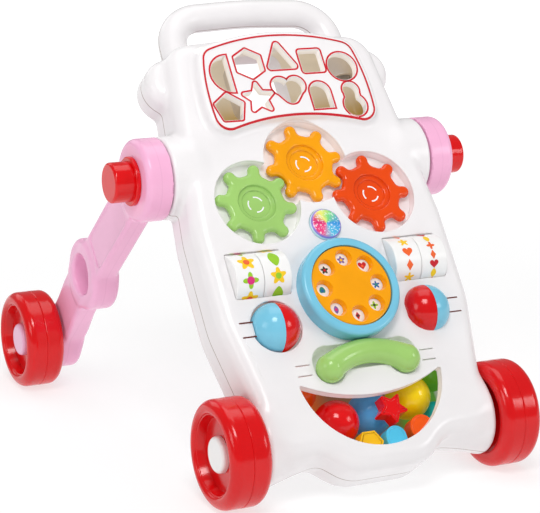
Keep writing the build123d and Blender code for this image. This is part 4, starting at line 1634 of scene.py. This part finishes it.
@dataclass
class GearTrain:
    """Three meshing gears, each with white arcs printed round its hub."""

    arc_inner: float = 7.7
    arc_outer: float = 9.2
    arc_half: float = 37.0
    arc_turns: tuple[float, ...] = (60.0, 180.0, 300.0)
    arc_points: int = 17
    arc_lift: float = 0.08
    finishes: tuple[tuple[str, Finish], ...] = (
        ("gear_orange", Finish.ORANGE),
        ("gear_green", Finish.GREEN),
        ("gear_red", Finish.VERMILION),
    )

    def build(self) -> None:
        """Mesh the gears, let them stand for their nodes and print the arcs."""
        for node, finish in self.finishes:
            form = GearForm(node)
            gear = form.build()
            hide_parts(node)
            mount(gear, node, finish)
            self.arcs(form)

    def arcs(self, form: GearForm) -> None:
        """White arcs on the floor of one hub."""
        points, faces = [], []
        for turn in self.arc_turns:
            first = len(points)
            span = np.linspace(turn - self.arc_half, turn + self.arc_half, self.arc_points)
            for a in np.radians(span):
                for reach in (self.arc_inner, self.arc_outer):
                    spot = form.middle[:2] + reach * np.array((np.cos(a), np.sin(a)))
                    points.append((*spot, form.hub_w + self.arc_lift))
            for low in range(first, len(points) - 2, 2):
                faces.append((low, low + 1, low + 3, low + 2))
        piece = mesh_piece(form.node + "_arcs", PANEL.place(np.array(points)), faces)
        mount(piece, form.node, Finish.CARD)


class Motif(Enum):
    """Generic printed motifs, each a closed outline round its middle."""

    FLOWER = "flower"
    LEAF = "leaf"
    HEART = "heart"
    STAR = "star"
    DROP = "drop"
    DISC = "disc"
    KITE = "kite"
    CLOVER = "clover"

    def outline(self, size: float, steps: int = 60) -> np.ndarray:
        """Points of the motif.

        Args:
            size: half height.
            steps: number of points.

        Returns:
            Anticlockwise points about the origin.
        """
        t = np.arange(steps) * 2 * math.pi / steps
        x, y = np.cos(t), np.sin(t)
        if self is Motif.HEART:
            rise = 13 * x - 5 * np.cos(2 * t) - 2 * np.cos(3 * t) - np.cos(4 * t) + 2.5
            return np.stack((-16 * y**3, rise), axis=1) * size / 15
        reach = {
            Motif.FLOWER: 0.78 + 0.22 * np.cos(5 * t - math.pi / 2),
            Motif.STAR: 0.7 + 0.3 * np.cos(5 * (t - math.pi / 2)),
            Motif.CLOVER: 0.72 + 0.28 * np.cos(4 * t),
            Motif.DISC: np.ones(steps),
            Motif.DROP: 0.75 + 0.25 * y**5,
            Motif.LEAF: 1 / np.sqrt((np.abs(x) / 0.5) ** 1.5 + np.abs(y) ** 1.5),
            Motif.KITE: 1 / (np.abs(x) / 0.62 + np.abs(y)),
        }[self]
        return np.stack((x * reach, y * reach), axis=1) * size


def motif_sheet(name: str, motif: Motif, size: float, rings: int = 4) -> bpy.types.Object:
    """Flat motif, x across and y along, in metres, fine enough to bend round a drum.

    Args:
        name: object name.
        motif: its outline.
        size: half height in millimetres.
        rings: rings of faces.

    Returns:
        The flat mesh.
    """
    outline = motif.outline(size)
    count = len(outline)
    points = [(0.0, 0.0, 0.0)]
    for level in range(1, rings + 1):
        points.extend((x * level / rings * MM, y * level / rings * MM, 0.0) for x, y in outline)
    faces = [(0, 1 + i, 1 + (i + 1) % count) for i in range(count)]
    for level in range(rings - 1):
        faces.extend(wall(1 + level * count, count, turned=True))
    return mesh_piece(name, np.array(points), faces)


class WrapTree:
    """Geometry Nodes tree that repeats a flat motif round a drum and bends it to the drum."""

    def __init__(self) -> None:
        """Build the tree with its named inputs."""
        self.tree = bpy.data.node_groups.new("wrap_print", "GeometryNodeTree")
        face = self.tree.interface
        face.new_socket("Motif", in_out="INPUT", socket_type="NodeSocketGeometry")
        self.inputs = {}
        for name, kind in (
            ("Count", "NodeSocketInt"),
            ("Radius", "NodeSocketFloat"),
            ("Phase", "NodeSocketFloat"),
            ("Centre", "NodeSocketVector"),
            ("Ink", "NodeSocketMaterial"),
        ):
            self.inputs[name] = face.new_socket(name, in_out="INPUT", socket_type=kind).identifier
        face.new_socket("Print", in_out="OUTPUT", socket_type="NodeSocketGeometry")
        self.wire()

    def node(self, kind: str, settings: dict, sockets: dict) -> bpy.types.Node:
        """Any node of the tree, settings first, then sockets filled or linked."""
        made = self.tree.nodes.new(kind)
        for key, value in settings.items():
            setattr(made, key, value)
        for key, value in sockets.items():
            if isinstance(value, bpy.types.NodeSocket):
                self.tree.links.new(value, made.inputs[key])
            else:
                made.inputs[key].default_value = value
        return made

    def maths(self, operation: str, first: object, second: object) -> bpy.types.NodeSocket:
        """Value of one Math node."""
        return self.node("ShaderNodeMath", {"operation": operation}, {0: first, 1: second}).outputs[0]

    def scaled(self, axis: Vector, amount: bpy.types.NodeSocket) -> bpy.types.NodeSocket:
        """Axis times an amount."""
        sockets = {0: tuple(axis), "Scale": amount}
        return self.node("ShaderNodeVectorMath", {"operation": "SCALE"}, sockets).outputs[0]

    def sum(self, first: bpy.types.NodeSocket, second: bpy.types.NodeSocket) -> bpy.types.NodeSocket:
        """Sum of two vectors."""
        return self.node("ShaderNodeVectorMath", {"operation": "ADD"}, {0: first, 1: second}).outputs[0]

    def wire(self) -> None:
        """Repeat, realize, bend and ink."""
        given = self.tree.nodes.new("NodeGroupInput").outputs
        around = self.maths("MULTIPLY", given["Radius"], 2 * math.pi)
        pitch = self.maths("DIVIDE", around, given["Count"])
        offset = self.node("ShaderNodeCombineXYZ", {}, {"Y": pitch}).outputs[0]
        line = self.node("GeometryNodeMeshLine", {}, {"Count": given["Count"], "Offset": offset})
        sockets = {"Points": line.outputs[0], "Instance": given["Motif"]}
        copies = self.node("GeometryNodeInstanceOnPoints", {}, sockets)
        flat = self.node("GeometryNodeRealizeInstances", {}, {0: copies.outputs[0]}).outputs[0]
        spot = self.node("GeometryNodeInputPosition", {}, {}).outputs[0]
        parts = self.node("ShaderNodeSeparateXYZ", {}, {0: spot}).outputs
        turn = self.maths("ADD", self.maths("DIVIDE", parts["Y"], given["Radius"]), given["Phase"])
        up = self.maths("MULTIPLY", self.maths("SINE", turn, 0.0), given["Radius"])
        out = self.maths("MULTIPLY", self.maths("COSINE", turn, 0.0), given["Radius"])
        place = self.sum(self.scaled(PANEL.across, parts["X"]), self.scaled(PANEL.slope, up))
        place = self.sum(self.sum(place, self.scaled(PANEL.normal, out)), given["Centre"])
        bent = self.node("GeometryNodeSetPosition", {}, {"Geometry": flat, "Position": place}).outputs[0]
        inked = self.node("GeometryNodeSetMaterial", {}, {"Geometry": bent, "Material": given["Ink"]})
        self.node("NodeGroupOutput", {}, {0: inked.outputs[0]})

    def wrap(self, sheet: bpy.types.Object, name: str, values: dict) -> bpy.types.Object:
        """Plain mesh of a motif repeated round a drum.

        Args:
            sheet: flat motif, removed afterwards.
            name: name of the result.
            values: values of the tree's named inputs.

        Returns:
            The bent print.
        """
        modifier = sheet.modifiers.new("wrap", "NODES")
        modifier.node_group = self.tree
        for key, value in values.items():
            modifier[self.inputs[key]] = value
        return settled(sheet, name)


@dataclass(frozen=True)
class RollMark:
    """One printed motif of a roller: its place in the pattern and its ink."""

    motif: Motif
    ink: Finish
    size: float
    phase: float
    across: float = 0.0
    lift: float = 0.08


@dataclass
class PictureRollers:
    """Four white rollers with generic motifs printed round them."""

    tree: WrapTree
    radius: float = 26.0
    count: int = 4
    marks: tuple[tuple[str, tuple[RollMark, ...]], ...] = (
        (
            "outer_left",
            (
                RollMark(Motif.FLOWER, Finish.INK_YELLOW, 9.6, 0.35),
                RollMark(Motif.DISC, Finish.INK_ORANGE, 3.4, 0.35, 0.0, 0.16),
                RollMark(Motif.CLOVER, Finish.INK_GREEN, 8.8, -0.43),
                RollMark(Motif.DISC, Finish.INK_PINK, 4.2, -0.43, 0.0, 0.16),
            ),
        ),
        (
            "inner_left",
            (
                RollMark(Motif.LEAF, Finish.INK_GREEN, 10.0, 0.42),
                RollMark(Motif.FLOWER, Finish.INK_YELLOW, 9.0, -0.36),
                RollMark(Motif.DISC, Finish.INK_GREEN, 3.2, -0.36, 0.0, 0.16),
            ),
        ),
        (
            "inner_right",
            (
                RollMark(Motif.STAR, Finish.INK_YELLOW, 6.0, 0.52, 1.0),
                RollMark(Motif.HEART, Finish.INK_ORANGE, 5.4, 0.0, 1.0),
                RollMark(Motif.KITE, Finish.INK_ORANGE, 6.2, -0.52, 1.0),
            ),
        ),
        (
            "outer_right",
            (
                RollMark(Motif.LEAF, Finish.INK_YELLOW, 5.4, 0.6, -1.0),
                RollMark(Motif.CLOVER, Finish.INK_ORANGE, 4.8, 0.2, -1.0),
                RollMark(Motif.KITE, Finish.INK_ORANGE, 5.2, -0.2, -1.0),
                RollMark(Motif.HEART, Finish.INK_RED, 4.8, -0.6, -1.0),
            ),
        ),
    )

    def build(self) -> None:
        """Print every roller."""
        for place, marks in self.marks:
            low, high = (np.array(corner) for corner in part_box(f"roller_{place}"))
            middle = (low + high) / 2
            for number, mark in enumerate(marks, 1):
                sheet = motif_sheet("sheet", mark.motif, mark.size)
                values = {
                    "Count": self.count,
                    "Radius": (self.radius + mark.lift) * MM,
                    "Phase": mark.phase,
                    "Centre": tuple(middle + np.array((mark.across * MM, 0, 0))),
                    "Ink": mark.ink.material,
                }
                piece = self.tree.wrap(sheet, f"roller_{place}_mark_{number}", values)
                mount(piece, f"roller_{place}", mark.ink)

    def dress(self) -> None:
        """Finish the drums."""
        for place, _ in self.marks:
            dress(Finish.WHITE_ROLLER, f"roller_{place}")


@dataclass
class PhoneDial:
    """Turning dial with finger holes over a card of small generic pictures."""

    pitch: float = 31.0
    size: float = 4.4
    dot_size: float = 1.5
    dot_steps: int = 24
    lift: float = 0.08
    marks: tuple[tuple[Motif, Finish, Finish], ...] = (
        (Motif.FLOWER, Finish.INK_PURPLE, Finish.INK_YELLOW),
        (Motif.HEART, Finish.INK_RED, Finish.INK_ORANGE),
        (Motif.STAR, Finish.INK_BLUE, Finish.INK_TEAL),
        (Motif.CLOVER, Finish.INK_GREEN, Finish.INK_DARK),
        (Motif.KITE, Finish.INK_RED, Finish.INK_DARK),
        (Motif.LEAF, Finish.INK_PURPLE, Finish.INK_PINK),
        (Motif.DROP, Finish.INK_TEAL, Finish.INK_BLUE),
        (Motif.FLOWER, Finish.INK_DARK, Finish.INK_RED),
    )

    def build(self) -> None:
        """Print a small picture under each finger hole."""
        spots = panel_points("dial_card")
        middle = (spots.min(axis=0) + spots.max(axis=0)) / 2
        top = spots[:, 2].max()
        count = len(self.marks)
        disc = Motif.DISC.outline(self.dot_size, self.dot_steps)
        for number, (motif, ink, dot) in enumerate(self.marks):
            turn = math.pi / 2 - 2 * math.pi * number / count
            u = middle[0] + self.pitch * math.cos(turn)
            s = middle[1] + self.pitch * math.sin(turn)
            self.mark(f"dial_mark_{number + 1}", motif.outline(self.size), (u, s, top + self.lift), ink)
            self.mark(f"dial_dot_{number + 1}", disc, (u, s, top + 2 * self.lift), dot)

    def mark(self, name: str, outline: np.ndarray, spot: Sequence[float], ink: Finish) -> None:
        """One flat printed shape on the card."""
        flat = np.column_stack((outline, np.zeros(len(outline)))) + np.array(spot)
        middle = np.array(spot)[None, :]
        count = len(outline)
        faces = [(count, i, (i + 1) % count) for i in range(count)]
        piece = mesh_piece(name, PANEL.place(np.concatenate((flat, middle))), faces)
        mount(piece, "walker_body", ink)

    def dress(self) -> None:
        """Finish ring, card and disc."""
        dress(Finish.BLUE, "dial_ring")
        dress(Finish.CARD, "dial_card")
        dress(Finish.ORANGE, "dial_disc")


@dataclass
class Handset:
    """Toy telephone handset, an arched grip that swells towards both ends."""

    half: float = 43.0
    end_s: float = 58.5
    top_s: float = 71.6
    height: float = 42.0
    grip: float = 12.7
    swell: float = 2.3
    room: float = 22.0
    step: float = 1.6

    def solid(self, points: np.ndarray) -> np.ndarray:
        """Distance from the handset."""
        sag = self.top_s - self.end_s
        radius = (self.half**2 + sag**2) / (2 * sag)
        u, s = np.abs(points[:, 0]), points[:, 1] - self.top_s + radius
        limit = math.asin(self.half / radius)
        turn = np.clip(np.arctan2(u, s), -limit, limit)
        flat = np.hypot(u - radius * np.sin(turn), s - radius * np.cos(turn))
        thick = self.grip + self.swell * (turn / limit) ** 4
        return np.hypot(flat, points[:, 2] - self.height) - thick

    def build(self) -> None:
        """Mesh the handset and let it stand for its node."""
        low = (-self.half - self.room, self.end_s - self.room, self.height - self.room)
        high = (self.half + self.room, self.top_s + self.room, self.height + self.room)
        piece = panel_form("handset_form", self.solid, low, high, self.step)
        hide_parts("handset")
        mount(piece, "handset", Finish.GREEN)


@dataclass
class SmileBin:
    """Balls and sorter blocks that lie in the bin behind the smile."""

    ridge_inset: float = 1.8
    ridge_width: float = 1.3
    ridge_rise: float = 0.5
    finishes: tuple[tuple[str, str, Finish], ...] = (
        ("ball_blue", "", Finish.TOY_BLUE),
        ("ball_red", "", Finish.TOY_RED),
        ("ball_yellow", "", Finish.TOY_YELLOW),
        ("ball_teal", "", Finish.TOY_TEAL),
        ("ball_green", "", Finish.TOY_GREEN),
        ("ball_orange", "", Finish.TOY_ORANGE),
        ("block_star", "block_star", Finish.TOY_RED),
        ("block_arch", "walker_body", Finish.TOY_CYAN),
        ("block_hexagon", "walker_body", Finish.TOY_AMBER),
        ("block_round", "walker_body", Finish.TOY_ORANGE),
    )

    def build(self) -> None:
        """Raise a moulded ridge on each block's face."""
        for node, body, finish in self.finishes:
            if not body:
                continue
            top = panel_points(node)[:, 2].max()
            outer, _ = rim_loops(node, top)
            measures = (self.ridge_inset, self.ridge_width, top, self.ridge_rise)
            piece = ridge(node + "_ridge", outer[0], *measures)
            mount(piece, body, finish)

    def dress(self) -> None:
        """Finish the toys."""
        for node, _, finish in self.finishes:
            dress(finish, node)


@dataclass
class FoldingLegs:
    """Pink legs with their clamp knobs."""

    def build(self) -> None:
        """Mesh both legs and let them stand for their nodes."""
        for side in Side:
            for half in LegForm(side).build():
                word = "outer" if "outer" in half.name else "inner"
                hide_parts(f"leg_{word}_{side.word}")
                mount(half, f"leg_{side.word}", Finish.PINK)

    def dress(self) -> None:
        """Finish the clamp knobs."""
        dress(Finish.RED, "lock_knob_left", "lock_knob_right")


@dataclass
class RollingStock:
    """Four red wheels on capped pins."""

    def dress(self) -> None:
        """Finish wheels and pins."""
        for side in Side:
            for corner in ("front", "rear"):
                dress(Finish.RED, f"wheel_{corner}_outer_{side.word}", f"wheel_{corner}_inner_{side.word}")
            dress(Finish.WHITE_ROLLER, f"axle_pin_front_{side.word}")
            dress(Finish.PINK_CAP, f"axle_pin_rear_{side.word}")


@dataclass
class SpinnerBalls:
    """Two-coloured spinner balls, with painted shade laid as dark strips over the panel slots where their
    rods hang.
    """

    form: BodyForm
    slot_start: float = 109.5
    slot_end: float = 126.0
    slot_s: tuple[float, ...] = (102.6, 118.0)
    slot_width: float = 1.5
    lift: float = 0.06

    def build(self) -> None:
        """Lay the painted shade strips over the slots on the front skin."""
        for side in Side:
            for number, s in enumerate(self.slot_s, 1):
                near, far = side.value * self.slot_start, side.value * self.slot_end
                low, high = s - self.slot_width / 2, s + self.slot_width / 2
                corners = np.array(((near, low), (far, low), (far, high), (near, high)))
                points = drape(self.form.front, corners, self.lift)
                piece = mesh_piece(f"spinner_slot_{side.word}_{number}", PANEL.place(points), [(0, 1, 2, 3)])
                # Painted shade strip over the slot
                mount(piece, "walker_body", Finish.INK_BROWN)

    def dress(self) -> None:
        """Finish the halves of both balls and the light button."""
        for side in Side:
            dress(Finish.BLUE, f"spinner_outer_{side.word}")
            dress(Finish.RED, f"spinner_inner_{side.word}")
        dress(Finish.BUTTON, "light_button")


@dataclass(frozen=True)
class Softbox:
    """Square light, with its place and side in metres and its power in watts."""

    name: str
    spot: Corner
    size: float
    power: float


@dataclass
class Studio:
    """Pale floor, soft lights and the photograph's camera."""

    azimuth: float = -26.66
    elevation: float = 14.17
    roll: float = 0.86
    distance: float = 2229.41
    shift_across: float = 1.94
    shift_up: float = 179.91
    lens: float = 133.26
    sensor: float = 36.0
    floor_half: float = 30.0
    floor_drop: float = 0.0004
    paper_scale: float = 3.0
    paper_roughness: float = 0.9
    pool_span: tuple[float, float] = (400.0, 2600.0)
    pool_near: Colour = (0.68, 0.68, 0.68)
    pool_far: Colour = (0.98, 0.98, 0.98)
    world_light: float = 0.3
    aim: Corner = (0.0, 0.0, 0.22)
    lights: tuple[Softbox, ...] = (
        Softbox("key_softbox", (-0.7, -1.4, 2.2), 0.8, 25),
        Softbox("fill_softbox", (1.6, -1.7, 1.1), 0.7, 9),
        Softbox("side_softbox", (-1.9, -0.6, 1.0), 0.8, 6),
        Softbox("top_softbox", (0.2, 0.4, 2.4), 1.6, 14),
        Softbox("rear_softbox", (-0.6, 1.9, 1.4), 1.2, 5),
    )

    def build(self) -> None:
        """Set up everything."""
        bpy.context.scene.view_settings.view_transform = "Standard"
        self.floor()
        self.world()
        for softbox in self.lights:
            self.light(softbox)
        self.camera()

    def floor(self) -> None:
        """White sweep of a floor."""
        half = self.floor_half
        corners = np.array([(-half, -half, 0), (half, -half, 0), (half, half, 0), (-half, half, 0)])
        piece = mesh_piece("studio_floor", corners - np.array((0, 0, self.floor_drop)), [(0, 1, 2, 3)])
        paint = Paint("floor_paper")
        tone = paint.mix(paint.noise(self.paper_scale), shade(160, 160, 160), shade(164, 164, 164))
        reach = paint.along((1, 0, 0), (0, 0, 0)).length(paint.along((0, 1, 0), (0, 0, 0)))
        pool = paint.mix(reach.rise(*self.pool_span), self.pool_near, self.pool_far)
        glow = {"Emission Color": pool, "Emission Strength": 1.0, "Specular IOR Level": 0.0}
        piece.data.materials.append(paint.finish(tone, self.paper_roughness, None, glow))

    def world(self) -> None:
        """Even white surroundings."""
        world = bpy.data.worlds.new("studio_world")
        world.use_nodes = True
        background = world.node_tree.nodes["Background"]
        background.inputs[0].default_value = (1, 1, 1, 1)
        background.inputs[1].default_value = self.world_light
        bpy.context.scene.world = world

    def light(self, softbox: Softbox) -> None:
        """Hang a softbox that is aimed at the walker."""
        lamp = bpy.data.lights.new(softbox.name, "AREA")
        lamp.size = softbox.size
        lamp.energy = softbox.power
        item = bpy.data.objects.new(softbox.name, lamp)
        item.location = softbox.spot
        aim = Vector(self.aim) - Vector(softbox.spot)
        item.rotation_euler = aim.to_track_quat("-Z", "Y").to_euler()
        bpy.context.scene.collection.objects.link(item)

    def camera(self) -> None:
        """Camera that stands where the photograph was taken."""
        a, e, r = (math.radians(v) for v in (self.azimuth, self.elevation, self.roll))
        back = Vector((math.sin(a) * math.cos(e), -math.cos(a) * math.cos(e), math.sin(e)))
        right = (-back).cross(Vector((0, 0, 1))).normalized()
        up = right.cross(-back)
        right, up = right * math.cos(r) + up * math.sin(r), up * math.cos(r) - right * math.sin(r)
        spot = (right * self.shift_across + up * self.shift_up + back * self.distance) * MM
        lens = bpy.data.cameras.new("photo_camera")
        lens.lens = self.lens
        lens.sensor_width = self.sensor
        item = bpy.data.objects.new("photo_camera", lens)
        turn = Matrix((right, up, back)).transposed().to_4x4()
        item.matrix_world = Matrix.Translation(spot) @ turn
        bpy.context.scene.collection.objects.link(item)
        bpy.context.scene.camera = item


def write_sizes() -> None:
    """Update the view layer.
    """
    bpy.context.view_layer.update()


def main() -> None:
    """Build and dress the walker, then light it."""
    logging.basicConfig(level=logging.INFO, format="%(name)s: %(message)s")
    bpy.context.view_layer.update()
    form = BodyForm()
    shell = BodyShell(form)
    shell.build()
    shell.dress()
    SorterPrint(form).build()
    GearTrain().build()
    rollers = PictureRollers(WrapTree())
    rollers.build()
    rollers.dress()
    dial = PhoneDial()
    dial.build()
    dial.dress()
    Handset().build()
    toys = SmileBin()
    toys.build()
    toys.dress()
    legs = FoldingLegs()
    legs.build()
    legs.dress()
    RollingStock().dress()
    spinners = SpinnerBalls(form)
    spinners.build()
    spinners.dress()
    Studio().build()
    write_sizes()


if __name__ == "__main__":
    main()
